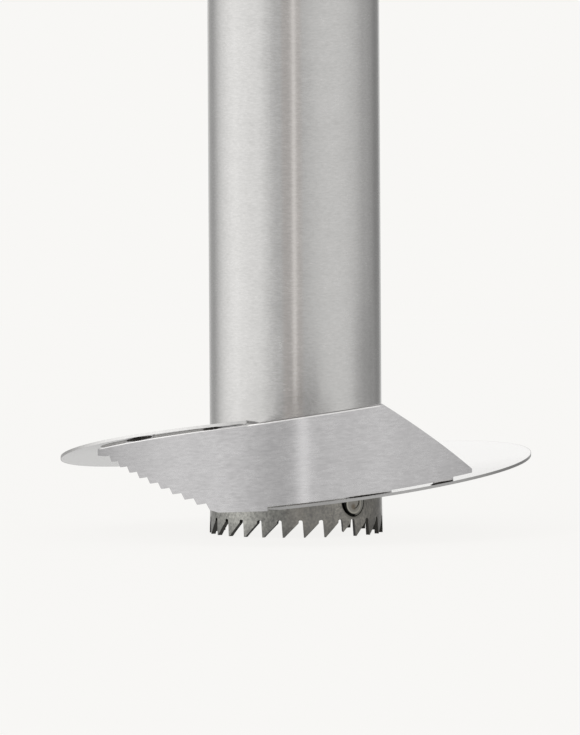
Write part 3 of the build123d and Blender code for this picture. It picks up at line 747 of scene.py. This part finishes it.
# Lighter steel for the rolled blade edge and the disc's end burr, partly a painted highlight.
EDGE_HIGHLIGHT_STEEL = BrushedSteel(
    "blade_edge_highlight_steel", Grain.ALONG_THE_PLATE, (0.93, 0.92, 0.92), (0.80, 0.79, 0.79), 0.30,
    0.32 * MM, 2.0 * MM,
)
FILLET_STEEL = BrushedSteel(
    "tab_fillet_steel", Grain.ALONG_THE_PLATE, (0.60, 0.59, 0.59), (0.46, 0.45, 0.45), 0.34,
    0.32 * MM, 1.0 * MM,
)
# Near-black weld beads: burnt metal and painted shade in the tabs' gaps.
BURNT_AND_SHADE_STEEL = PlatedSteel("weld_bead_burnt_and_shade", (0.040, 0.037, 0.034), (0.014, 0.013, 0.012), 0.5)
SEAM_STEEL = PlatedSteel("ear_seam_steel", (0.172, 0.167, 0.150), (0.145, 0.141, 0.127), 0.36)
# A dark line along the blade's edge towards the apex: painted shade.
EDGE_SHADE_STEEL = PlatedSteel(
    "edge_shade_line_steel", (0.27, 0.262, 0.258), (0.20, 0.195, 0.19), 0.5
)
# A dull grey line in the gap under the disc: painted shade.
GAP_SHADE_FILM = SoftRubber("gap_painted_shade_film", (0.36, 0.355, 0.35), (0.46, 0.455, 0.45), 0.6)


@dataclass(frozen=True)
class Tab:
    """A tab of the blade, from its left to its right azimuth, and the gap that its weld fills.

    An upper tab meets the disc's upper end from below. The bead's fullness is given at even steps
    from left to right, and its seat is its height within the gap, from 0 at the blade's edge to 1
    at the disc.
    """

    start: float
    end: float
    gap: float
    upper: bool
    fullness: tuple[float, ...]
    seat: float = 0.5


@dataclass
class Disc:
    """The slicing disc, one turn of a right-handed screw. Sizes are those of the solids."""

    radius: float = 41.1 * MM
    thickness: float = 0.5 * MM
    pitch: float = 15.77 * MM
    mid_height: float = 9.44 * MM
    lean: float = 4.53 * MM
    lean_angle: float = -24.1
    saddle: float = 0.89 * MM
    dish: float = 0.74 * MM
    dip: float = 0.35 * MM
    dip_angle: float = -77.0
    dip_width: float = 28.0
    end_sag: float = 0.42 * MM
    sag_angles: tuple[float, float] = (212.0, 258.0)
    sag_power: float = 1.5
    end_slant: float = 12.0
    ear_angles: tuple[float, ...] = (-48.2, 71.8, 191.8)
    ear_drop: float = 2.55 * MM
    ear_gap_radius: float = 2.45 * MM
    tube_radius: float = 15.0 * MM
    tabs: tuple[Tab, ...] = (
        Tab(-47.0, -37.9, 0.7 * MM, True, (0.0, 0.55, 0.75, 0.95, 1.0, 0.95, 0.85, 0.75, 0.6)),
        Tab(-23.6, -13.2, 0.7 * MM, True, (0.0, 0.8, 1.0, 0.85, 0.45, 0.35, 0.3, 0.25, 0.0)),
        Tab(11.6, 24.0, 0.3 * MM, False, (0.0, 0.6, 0.9, 1.0, 0.85, 0.7, 0.6, 0.45, 0.0)),
        Tab(34.8, 42.2, 0.5 * MM, False, (0.0, 0.5, 0.8, 0.9, 0.85, 0.65, 0.5, 0.4, 0.2), 0.85),
    )
    blade_radius: float = 40.35 * MM
    bead_half_width: float = 0.22 * MM
    bead_ripples: int = 9
    edge_azimuths: tuple[float, float, float, float] = (-58.2, -12.0, 21.6, 48.9)
    edge_drop: float = 0.37 * MM
    edge_sink: float = 0.22 * MM
    apex_height: float = 24.48 * MM
    right_height: float = 12.53 * MM

    def unsagged_height(self, radius: Any, angle: Any) -> Any:
        """Height of the disc's middle as if its upper end didn't sag.

        Args:
            radius: Distance from the axis in metres.
            angle: Turn in degrees, anticlockwise from +X.

        Returns:
            pitch times angle over a turn, plus lean times the share of the radius times the
            cosine of the angle, plus saddle times that share squared times the sine of twice it,
            plus dish times the share less one times the turn since the first ear, less the dip
            times a bell curve of the angle.
        """
        reach = radius / self.radius
        climb = self.pitch * angle / 360.0
        lean = self.lean * reach * np.cos(np.radians(angle - self.lean_angle))
        saddle = self.saddle * reach**2 * np.sin(np.radians(2 * angle))
        dish = self.dish * (reach - 1) * (angle - self.ear_angles[0]) / 360.0
        dip = self.dip * np.exp(-(((angle - self.dip_angle) / self.dip_width) ** 2))
        return self.mid_height + climb + lean + saddle + dish - dip

    def height(self, radius: Any, angle: Any) -> Any:
        """Height of the disc's middle, less the sag times a power of the way along its end."""
        sag_start, sag_end = self.sag_angles
        along = np.maximum((angle - sag_start) / (sag_end - sag_start), 0)
        return self.unsagged_height(radius, angle) - self.end_sag * along**self.sag_power

    def ear_points(self) -> tuple[Place, ...]:
        """The middles of the three welded ears, on the tube's outside."""
        angles = np.array(self.ear_angles)
        proud, below = 0.3 * MM, 0.45 * MM
        heights = self.height(self.tube_radius, angles) - self.ear_drop - below
        places = at_azimuth(self.tube_radius + proud, angles - UPPER_END, heights)
        return tuple(map(tuple, places.tolist()))

    def gap_sides(self, tab: Tab, azimuth: Any) -> tuple[np.ndarray, np.ndarray]:
        """Heights of the blade's edge and of the disc's face on both sides of a tab's gap."""
        half = self.thickness / 2
        if tab.upper:
            angle = azimuth + UPPER_END
            edge = self.unsagged_height(self.blade_radius, angle) - half - tab.gap
            return edge, self.height(self.blade_radius, angle) - half
        face = self.height(self.blade_radius, azimuth + LOWER_END) + half
        return face + tab.gap, face

    def weld_bead(self, tab: Tab) -> Patch:
        """One weld bead in the gap between the disc and the blade, along a tab, near-black as
        burnt metal and as painted shade.

        Its section is an ellipse. Its half height is the gap's times the fullness at that place,
        with ripples where the weld pool froze.
        """
        proud, tallest = 0.02 * MM, 0.32 * MM
        u, out, up = tube_grid(57, 16)
        azimuth = tab.start + (tab.end - tab.start) * u
        ripple = 1 + 0.06 * np.sin(2 * np.pi * self.bead_ripples * u)
        steps = np.linspace(0, 1, len(tab.fullness))
        full = np.interp(u, steps, tab.fullness) * ripple * rounded_ends(u, 24)
        radius = self.blade_radius + proud + self.bead_half_width * np.sqrt(full) * out
        edge, face = self.gap_sides(tab, azimuth)
        half = np.minimum(np.abs(face - edge) / 2, tallest) * full
        return tube(at_azimuth(radius, azimuth, edge + (face - edge) * tab.seat + half * up))

    def tab_fillet(self, tab: Tab) -> Patch:
        """Bright weld metal that closes the gap behind a lower tab's burnt bead.

        It is a closed tube of oval section that reaches from the blade's edge to the disc.
        """
        inset, half_width, overlap = 0.15 * MM, 0.22 * MM, 0.1 * MM
        u, out, up = tube_grid(41, 16)
        azimuth = tab.start + 1.2 + (tab.end - tab.start - 1.0) * u
        taper = rounded_ends(u, 8)
        radius = self.blade_radius - inset + half_width * taper * out
        edge, face = self.gap_sides(tab, azimuth)
        half = (np.abs(edge - face) / 2 + overlap) * taper
        return tube(at_azimuth(radius, azimuth, (edge + face) / 2 + half * up))

    def end_burr(self) -> Patch:
        """The rounded burr of the disc's upper end, which slants from the rim to the tube."""
        inset, both_ends = 0.15 * MM, 0.6 * MM
        u, across, up = tube_grid(61, 12)
        width = self.radius - self.tube_radius
        radius = self.radius - inset - (width - both_ends) * u
        angle = self.sag_angles[1] - self.end_slant * (self.radius - radius) / width
        half = self.thickness * rounded_ends(u, 40)
        azimuth = angle - UPPER_END + np.degrees(0.5 * half * across / radius)
        return tube(at_azimuth(radius, azimuth, self.height(radius, angle) + 0.52 * half * up))

    def ear_seam(self, angle: float) -> Patch:
        """Weld metal that closes the seat's gap along the right side of one ear.

        It is a closed tube of oval section, which runs round the ear's end in an arc and then
        straight up towards the disc.
        """
        u, across, out = tube_grid(65, 14)
        inset, half_width, half_depth = 0.2 * MM, 0.24 * MM, 0.2 * MM
        bend, straight = math.radians(82.0), 2.2 * MM
        along = u * (self.ear_gap_radius * bend + straight)
        turn = np.minimum(along / self.ear_gap_radius - bend, 0)
        lift = np.maximum(along - self.ear_gap_radius * bend, 0)
        taper = rounded_ends(u, 8)
        reach = self.ear_gap_radius + half_width * taper * across
        radius = self.tube_radius - inset + half_depth * taper * out
        azimuth = angle - UPPER_END + np.degrees(reach * np.cos(turn) / self.tube_radius)
        middle = self.height(self.tube_radius, angle) - self.ear_drop
        return tube(at_azimuth(radius, azimuth, middle + lift + reach * np.sin(turn)))

    def gap_shade_line(self) -> Patch:
        """A dull grey line of painted shade in the narrow gap between the disc and the blade's
        upper edge.
        """
        left, disc_end, _, _ = self.edge_azimuths
        inset, half_width, half_height, seat = 0.22 * MM, 0.12 * MM, 0.26 * MM, 0.42
        u, out, up = tube_grid(121, 12)
        azimuth = left + 0.8 + (disc_end - left - 1.6) * u
        taper = rounded_ends(u, 12)
        radius = self.blade_radius - inset + half_width * taper * out
        edge, face = self.gap_sides(self.tabs[0], azimuth)
        height = edge + (face - edge) * seat + half_height * taper * up
        return tube(at_azimuth(radius, azimuth, height))

    def blade_edge(self, azimuth: np.ndarray) -> np.ndarray:
        """Height of the blade's upper edge: under the disc, then straight to the apex and down.

        Args:
            azimuth: Azimuths in degrees, rising.

        Returns:
            The heights. On the two straight stretches the height goes evenly with the sine of
            the azimuth from the stretch's middle, because they were cut along flat lines.
        """
        _, disc_end, apex, right = self.edge_azimuths
        under_disc, _ = self.gap_sides(self.tabs[0], azimuth)
        disc_height = self.height(self.blade_radius, disc_end + UPPER_END)
        start = disc_height - self.thickness / 2 - self.edge_drop

        def straight(first: float, last: float, high: float, low: float) -> np.ndarray:
            """Height along one flat cut."""
            middle = (first + last) / 2
            across = np.sin(np.radians(azimuth - middle)) / np.sin(np.radians(last - middle))
            return (high + low) / 2 + (low - high) / 2 * across

        free = straight(disc_end, apex, start, self.apex_height)
        slanted = straight(apex, right, self.apex_height, self.right_height)
        return np.where(azimuth < disc_end, under_disc, np.where(azimuth < apex, free, slanted))

    def edge_line(self, first: float, inset: float, drop: float, thick: float) -> Patch:
        """A thin tube along the blade's upper edge, from an azimuth to the apex.

        It sinks a little further below the edge on the way from the front to the apex.

        Args:
            first: The azimuth where it starts, in degrees.
            inset: How far its middle lies within the blade's outside.
            drop: How far its middle lies below the edge at the front.
            thick: Its section's radius.

        Returns:
            The tube's surface.
        """
        apex = self.edge_azimuths[2]
        u, out, up = tube_grid(241, 8)
        azimuth = first + (apex - first) * u
        roll = thick * rounded_ends(u, 120)
        sunk = drop + self.edge_sink * np.clip(azimuth / apex, 0, 1)
        radius = self.blade_radius - inset + roll * out
        return tube(at_azimuth(radius, azimuth, self.blade_edge(azimuth) - sunk + roll * up))

    def steels(self) -> dict[str, BrushedSteel]:
        """The brushed steel of each solid."""
        ears = self.ear_points()
        return {
            # The tube's and the plate's steels carry bands of painted light and shade; the tube's
            # foot also gets painted shade.
            "core_tube": BrushedSteel(
                "tube_brushed_steel", Grain.ROUND_THE_TUBE, (0.68, 0.675, 0.67),
                (0.48, 0.477, 0.47), 0.245, 0.28 * MM, 0.9 * MM, line_contrast=0.8, stretch=0.9,
                welds=ears, grime_and_shade_top=9.0 * MM, painted_light_bands=TUBE_PAINTED_LIGHT,
            ),
            "slicing_disc": BrushedSteel(
                "disc_satin_steel", Grain.ACROSS_THE_DISC, (0.90, 0.895, 0.89),
                (0.76, 0.755, 0.75), 0.17, 0.3 * MM, 9.0 * MM, line_contrast=0.9, smudge=0.2,
                welds=ears, rim_radius=self.radius,
            ),
            "rim_blade": BrushedSteel(
                "plate_brushed_steel", Grain.ALONG_THE_PLATE, (0.675, 0.668, 0.677),
                (0.49, 0.484, 0.491), 0.26, 0.32 * MM, 1.4 * MM, line_contrast=1.15, smudge=0.4,
                stretch=0.9, normal_turn=-1.9, painted_light_bands=PLATE_PAINTED_LIGHT,
            ),
        }

    def build(self, frame: Mapping[str, Any]) -> list[bpy.types.Object]:
        """Dresses the tube, disc and blade, and adds the weld beads, edge pieces and lines of
        painted shade.

        Returns:
            The new pieces.
        """
        for name, steel in self.steels().items():
            dress(frame["nodes"][name], steel.material())
        return [
            add_piece(name, patches, finish.material(), "blade_unit", slot)
            for name, slot, finish, patches in (
                # Near-black beads: burnt metal and painted shade.
                ("tab_weld_beads", "disc_steel", BURNT_AND_SHADE_STEEL, map(self.weld_bead, self.tabs)),
                (
                    "tab_weld_fillets", "disc_steel", FILLET_STEEL,
                    (self.tab_fillet(tab) for tab in self.tabs if not tab.upper),
                ),
                (
                    # A lighter edge roll, partly a painted highlight.
                    "blade_edge_roll", "blade_steel", EDGE_HIGHLIGHT_STEEL,
                    [self.edge_line(-57.9, 0.13 * MM, 0.10 * MM, 0.17 * MM)],
                ),
                (
                    # Painted shade: a dark line along the blade's edge.
                    "blade_edge_shade_line", "blade_steel", EDGE_SHADE_STEEL,
                    [self.edge_line(-9.0, 0.06 * MM, -0.11 * MM, 0.08 * MM)],
                ),
                ("disc_end_burr", "disc_steel", EDGE_HIGHLIGHT_STEEL, [self.end_burr()]),
                # Painted shade in the gap under the disc.
                ("gap_shade_line", "blade_steel", GAP_SHADE_FILM, [self.gap_shade_line()]),
                ("ear_weld_seams", "disc_steel", SEAM_STEEL, map(self.ear_seam, self.ear_angles)),
            )
        ]


PAD_RUBBER = SoftRubber("pad_soft_rubber", (0.055, 0.055, 0.060), (0.085, 0.085, 0.088))
BUTTON_PLASTIC = MouldedPlastic(
    "button_satin_plastic", (0.28, 0.29, 0.30), (0.36, 0.37, 0.38), 0.42
)

# Which solids wear each finish, by name; a star stands for any ending.
HANDLE_LOOKS = {
    MouldedPlastic(
        "handle_black_plastic", (0.030, 0.030, 0.033), (0.055, 0.055, 0.058), 0.48
    ): ("handle_body", "handle_cover"),
    PAD_RUBBER: ("grip_pad_*",),
    SoftRubber(
        "seal_black_rubber", grey(0.10), grey(0.14), 0.6
    ): ("spigot_ring", "seat_gasket"),
    MouldedPlastic(
        "plug_plastic_skin", (0.045, 0.045, 0.048), (0.07, 0.07, 0.072), 0.52
    ): ("screw_plug_*",),
    MouldedPlastic(
        "spigot_smooth_plastic", (0.045, 0.045, 0.048), (0.07, 0.07, 0.072), 0.40
    ): ("spigot",),
    BUTTON_PLASTIC: ("release_button_*",),
    PlatedSteel(
        "screw_plated_steel", grey(0.60), (0.46, 0.455, 0.44)
    ): ("cover_screw_*", "spigot_screw_*", "clip_screw"),
    PlatedSteel(
        "clip_spring_steel", (0.50, 0.50, 0.51), (0.36, 0.36, 0.37), 0.38
    ): ("latch_clip",),
}


@dataclass
class Handle:
    """The T-handle with its pads, plugs and screws, and the buttons that free it."""

    bar_axis: float = 231.0 * MM
    bar_half_depth: float = 13.0 * MM
    bar_half_height: float = 12.5 * MM
    pad_centre: float = 43.0 * MM
    pad_length: float = 30.0 * MM
    pad_width: float = 15.0 * MM
    rib_count: int = 9
    rib_radius: float = 0.75 * MM
    rib_sunk: float = 0.35 * MM
    latch_height: float = 200.0 * MM
    button_face: float = 25.1 * MM
    button_rib_pitch: float = 2.4 * MM
    button_rib_half_lengths: tuple[float, float, float] = (3.3 * MM, 4.1 * MM, 3.3 * MM)

    def pad_share(self, node: bpy.types.Object) -> np.ndarray:
        """How thick the crossbar is along a pad.

        The share is the root of (y over half depth) squared plus (z over half height) squared,
        the same all over the bar's skin at one x, so a quartic in x is fitted to the pad's
        outermost points.

        Args:
            node: The pad's solid.

        Returns:
            The quartic's coefficients, highest power first, for x in millimetres.
        """
        points = np.empty(len(node.data.vertices) * 3)
        node.data.vertices.foreach_get("co", points)
        x, y, z = points.reshape(-1, 3).T
        share = np.hypot(y / self.bar_half_depth, (z - self.bar_axis) / self.bar_half_height)
        bins = np.round(x / MM).astype(int)
        outer = np.array([share[bins == place].max() for place in np.unique(bins)])
        return np.polyfit(np.unique(bins).astype(float), outer, 4)

    def pad_ribs(self, side: int, node: bpy.types.Object) -> list[Patch]:
        """Ribs across a soft pad, each an arc over the crossbar with a round section.

        A rib at x runs over the pad in an angle t about the bar: y is the half depth times the
        bar's share times sin t, and z the half height times the share times cos t. Its section is
        a circle, sunk by more than half, that tapers to nothing at both ends.

        Args:
            side: -1 for the left pad and 1 for the right.
            node: The pad's solid.

        Returns:
            The ribs' surfaces.
        """
        share, margin = self.pad_share(node), 0.9 * MM
        u, across, up = tube_grid(33, 20)
        taper = rounded_ends(u, 6)
        rise = self.rib_radius * taper * up - self.rib_sunk
        straight = (self.pad_length - self.pad_width) / 2
        ribs = []
        for number in range(self.rib_count):
            offset = (number - (self.rib_count - 1) / 2) * self.pad_length / (self.rib_count + 1.6)
            beyond = max(abs(offset) - straight, 0.0)
            half = math.sqrt((self.pad_width / 2) ** 2 - beyond**2) - margin
            turn = math.asin(half / self.bar_half_depth) * (2 * u - 1)
            x = side * self.pad_centre + offset + self.rib_radius * taper * across
            thick = np.polyval(share, x / MM)
            y = (self.bar_half_depth * thick + rise) * np.sin(turn)
            z = self.bar_axis + (self.bar_half_height * thick + rise) * np.cos(turn)
            ribs.append(tube(np.stack((x, y, z), axis=-1)))
        return ribs

    def button_ribs(self, facing: int) -> list[Patch]:
        """Three raised ribs on a release button's face, the middle one longest.

        Each is a level bar of oval section, half sunk, that tapers at its ends: x runs along it,
        z over it and y stands off the face.

        Args:
            facing: -1 for the front button and 1 for the rear one.

        Returns:
            The ribs' surfaces.
        """
        sunk, half_height, relief = 0.12 * MM, 0.65 * MM, 0.85 * MM
        u, up, out = tube_grid(29, 16)
        taper = rounded_ends(u, 6)
        y = facing * (self.button_face - sunk + relief * taper * out)
        ribs = []
        for row, half in zip((-1, 0, 1), self.button_rib_half_lengths):
            height = self.latch_height + row * self.button_rib_pitch
            points = (half * (2 * u - 1), y, height + half_height * taper * up)
            ribs.append(tube(np.stack(points, axis=-1)))
        return ribs

    def build(self, frame: Mapping[str, Any]) -> list[bpy.types.Object]:
        """Dresses the handle's nodes and adds its ribs.


        Returns:
            The new pieces.
        """
        nodes = frame["nodes"]
        looks = {finish: finish.material() for finish in HANDLE_LOOKS}
        for finish, patterns in HANDLE_LOOKS.items():
            for pattern in patterns:
                for name in fnmatch.filter(nodes, pattern):
                    dress(nodes[name], looks[finish])
        made = []
        for side, word in ((-1, "left"), (1, "right")):
            name, look = f"pad_ribs_{word}", looks[PAD_RUBBER]
            ribs = self.pad_ribs(side, nodes[f"grip_pad_{word}"])
            made.append(add_piece(name, ribs, look, "handle", "soft_grip"))
        for facing, word in ((-1, "front"), (1, "rear")):
            name, look = f"button_ribs_{word}", looks[BUTTON_PLASTIC]
            ribs = self.button_ribs(facing)
            made.append(add_piece(name, ribs, look, f"{word}_button", "button_plastic"))
        return made


# --------------------------------------------------------------------- studio


@dataclass(frozen=True)
class Panel:
    """One soft panel of the studio's wall, or a flag that dims it where the glow is negative.

    Its azimuth and half width are in degrees.
    """

    azimuth: float
    width: float
    glow: float


@dataclass
class Studio:
    """Floor, glowing wall, lamps, world and camera. The wall is open behind the object."""

    wall_radius: float = 4.0
    wall_half_height: float = 4.0
    wall_counts: tuple[int, int] = (720, 33)
    wall_base: float = 0.37
    back_from: float = 155.0
    back_soft: float = 8.0
    back_above: float = 0.98
    back_below: float = 0.62
    back_step: float = 0.2
    panels: tuple[Panel, ...] = (
        Panel(-138.0, 15.0, -0.21),
        Panel(-86.0, 55.5, 0.85),
        Panel(-62.0, 32.0, 0.115),
        Panel(-47.0, 12.0, 0.12),
        Panel(-0.3, 2.4, 0.6),
        Panel(39.0, 42.0, 0.49),
        Panel(62.0, 20.0, 0.07),
        Panel(83.0, 23.0, 0.21),
        Panel(104.0, 22.0, 0.12),
    )
    floor_size: float = 14.0
    floor_shadow: float = 0.07
    camera_distance: float = 2.3
    camera_lens: float = 645.0
    camera_elevation: float = 3.0
    camera_roll: float = -0.34
    aim: Place = (-0.93 * MM, 0.0, 28.83 * MM)

    def world(self) -> None:
        """Pale backdrop for the camera and for what metal mirrors, and plain white fill light."""
        world = bpy.data.worlds.new("studio_world")
        bpy.context.scene.world = world
        world.use_nodes = True
        bench = NodeBench(world.node_tree)
        seen = bench.ray("Camera").most(bench.ray("Glossy")).most(bench.ray("Transmission"))
        colour = bench.blend(seen, (1.0, 1.0, 1.0), PALE_BACKDROP)
        glow = bench.node("Background", inputs={"Color": colour, "Strength": 1.0})
        bench.node("OutputWorld", inputs={"Surface": glow.outputs[0]})

    def wall(self) -> bpy.types.Object:
        """Upright ring of soft panels, which the camera doesn't see.

        Its glow at an azimuth is a base plus, for each panel, the panel's glow times the bell
        curve of the distance from the panel's middle over its width. Behind the object it passes
        into the backdrop's level above the floor, and into a greyer one below it.

        Returns:
            The wall, with the glow in an attribute.
        """
        columns, rows = self.wall_counts
        azimuth, height = np.meshgrid(
            np.linspace(-180.0, 180.0, columns, endpoint=False),
            self.wall_half_height * np.linspace(-1.0, 1.0, rows) ** 3,
            indexing="ij",
        )
        points = at_azimuth(self.wall_radius, azimuth, height).reshape(-1, 3)
        wall = mesh_piece("studio_wall", points, grid_faces(columns, rows, (True, False)))
        glow = np.full(azimuth.shape, self.wall_base)
        for panel in self.panels:
            glow += panel.glow * np.exp(-(((azimuth - panel.azimuth) / panel.width) ** 2))
        behind = np.clip((np.abs(azimuth) - self.back_from) / self.back_soft, 0, 1)
        above = np.clip(height / self.back_step + 0.5, 0, 1)
        back_glow = self.back_below + (self.back_above - self.back_below) * above
        glow += behind * (back_glow - glow)
        attribute = wall.data.attributes.new("glow", "FLOAT", "POINT")
        attribute.data.foreach_set("value", glow.ravel())
        bench, material = new_material("studio_wall_glow")
        level = bench.node("Attribute", {"attribute_name": "glow"}).outputs["Fac"]
        inputs = {"Color": as_colour((1.0, 0.995, 0.985)), "Strength": level}
        bench.close(bench.node("Emission", inputs=inputs).outputs[0])
        dress(wall, material)
        wall.visible_camera = False
        wall.visible_shadow = False
        return wall

    def floor(self) -> bpy.types.Object:
        """Pale floor under the teeth.

        Near the object it shows a little of its own light and shadow, and further out it passes
        into the backdrop's colour, where the camera sees it.
        """
        signs = np.array([(-1, -1, 0), (1, -1, 0), (1, 1, 0), (-1, 1, 0)])
        corners = signs * self.floor_size / 2
        floor = mesh_piece("studio_floor", corners, np.array([[0, 1, 2, 3]]))
        bench, material = new_material("pale_floor")
        near = bench.radius.ramp(0.75, 0.10)
        grain = bench.noise(bench.mapped((9.0,) * 3), detail=2.0)
        own = bench.blend(grain, (0.92, 0.915, 0.90), (0.94, 0.935, 0.92))
        matt = bench.node("BsdfDiffuse", inputs={"Color": own})
        inputs = {"Color": as_colour(PALE_BACKDROP), "Strength": 1.0}
        plain = bench.node("Emission", inputs=inputs)
        mask = bench.ray("Camera") * (1 - near * self.floor_shadow)
        shaders = {0: mask, 1: matt.outputs[0], 2: plain.outputs[0]}
        bench.close(bench.node("MixShader", inputs=shaders).outputs[0])
        dress(floor, material)
        floor.visible_glossy = False
        return floor

    def lamp(self, name: str, place: Place, size: float, power: float) -> None:
        """A square soft lamp that faces the middle of the object."""
        data = bpy.data.lights.new(name, "AREA")
        data.size, data.energy = size, power
        lamp = placed(name, data)
        lamp.location = place
        away = Vector(place) - Vector((0, 0, 0.1))
        lamp.rotation_euler = away.to_track_quat("Z", "Y").to_euler()

    def camera(self) -> None:
        """The photograph's camera: far off, with a long lens, just above the level of the disc."""
        data = bpy.data.cameras.new("photo_camera")
        camera = placed("photo_camera", data)
        data.sensor_width = 36.0
        data.lens = self.camera_lens
        data.clip_start, data.clip_end = 0.05, 60.0
        rise = math.radians(self.camera_elevation)
        back = Vector((0.0, -math.cos(rise), math.sin(rise)))
        place = Matrix.Translation(Vector(self.aim) + back * self.camera_distance)
        turn = (-back).to_track_quat("-Z", "Y").to_matrix().to_4x4()
        roll = Matrix.Rotation(math.radians(self.camera_roll), 4, "Z")
        camera.matrix_world = place @ turn @ roll
        bpy.context.scene.camera = camera

    def build(self) -> None:
        """Sets up everything that isn't part of the object."""
        bpy.context.scene.view_settings.view_transform = "Standard"
        self.world()
        self.wall()
        self.floor()
        self.lamp("key_lamp", (-1.6, -1.8, 2.2), 1.6, 14.0)
        self.camera()


def main() -> None:
    """Builds the sub-assemblies in order."""
    logging.basicConfig(level=logging.INFO, format="%(name)s: %(message)s")
    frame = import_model()
    for part in (Disc(), Handle()):
        for piece in part.build(frame):
            LOG.info("%s: %d faces", piece.name, len(piece.data.polygons))
    Studio().build()


if __name__ == "__main__":
    main()
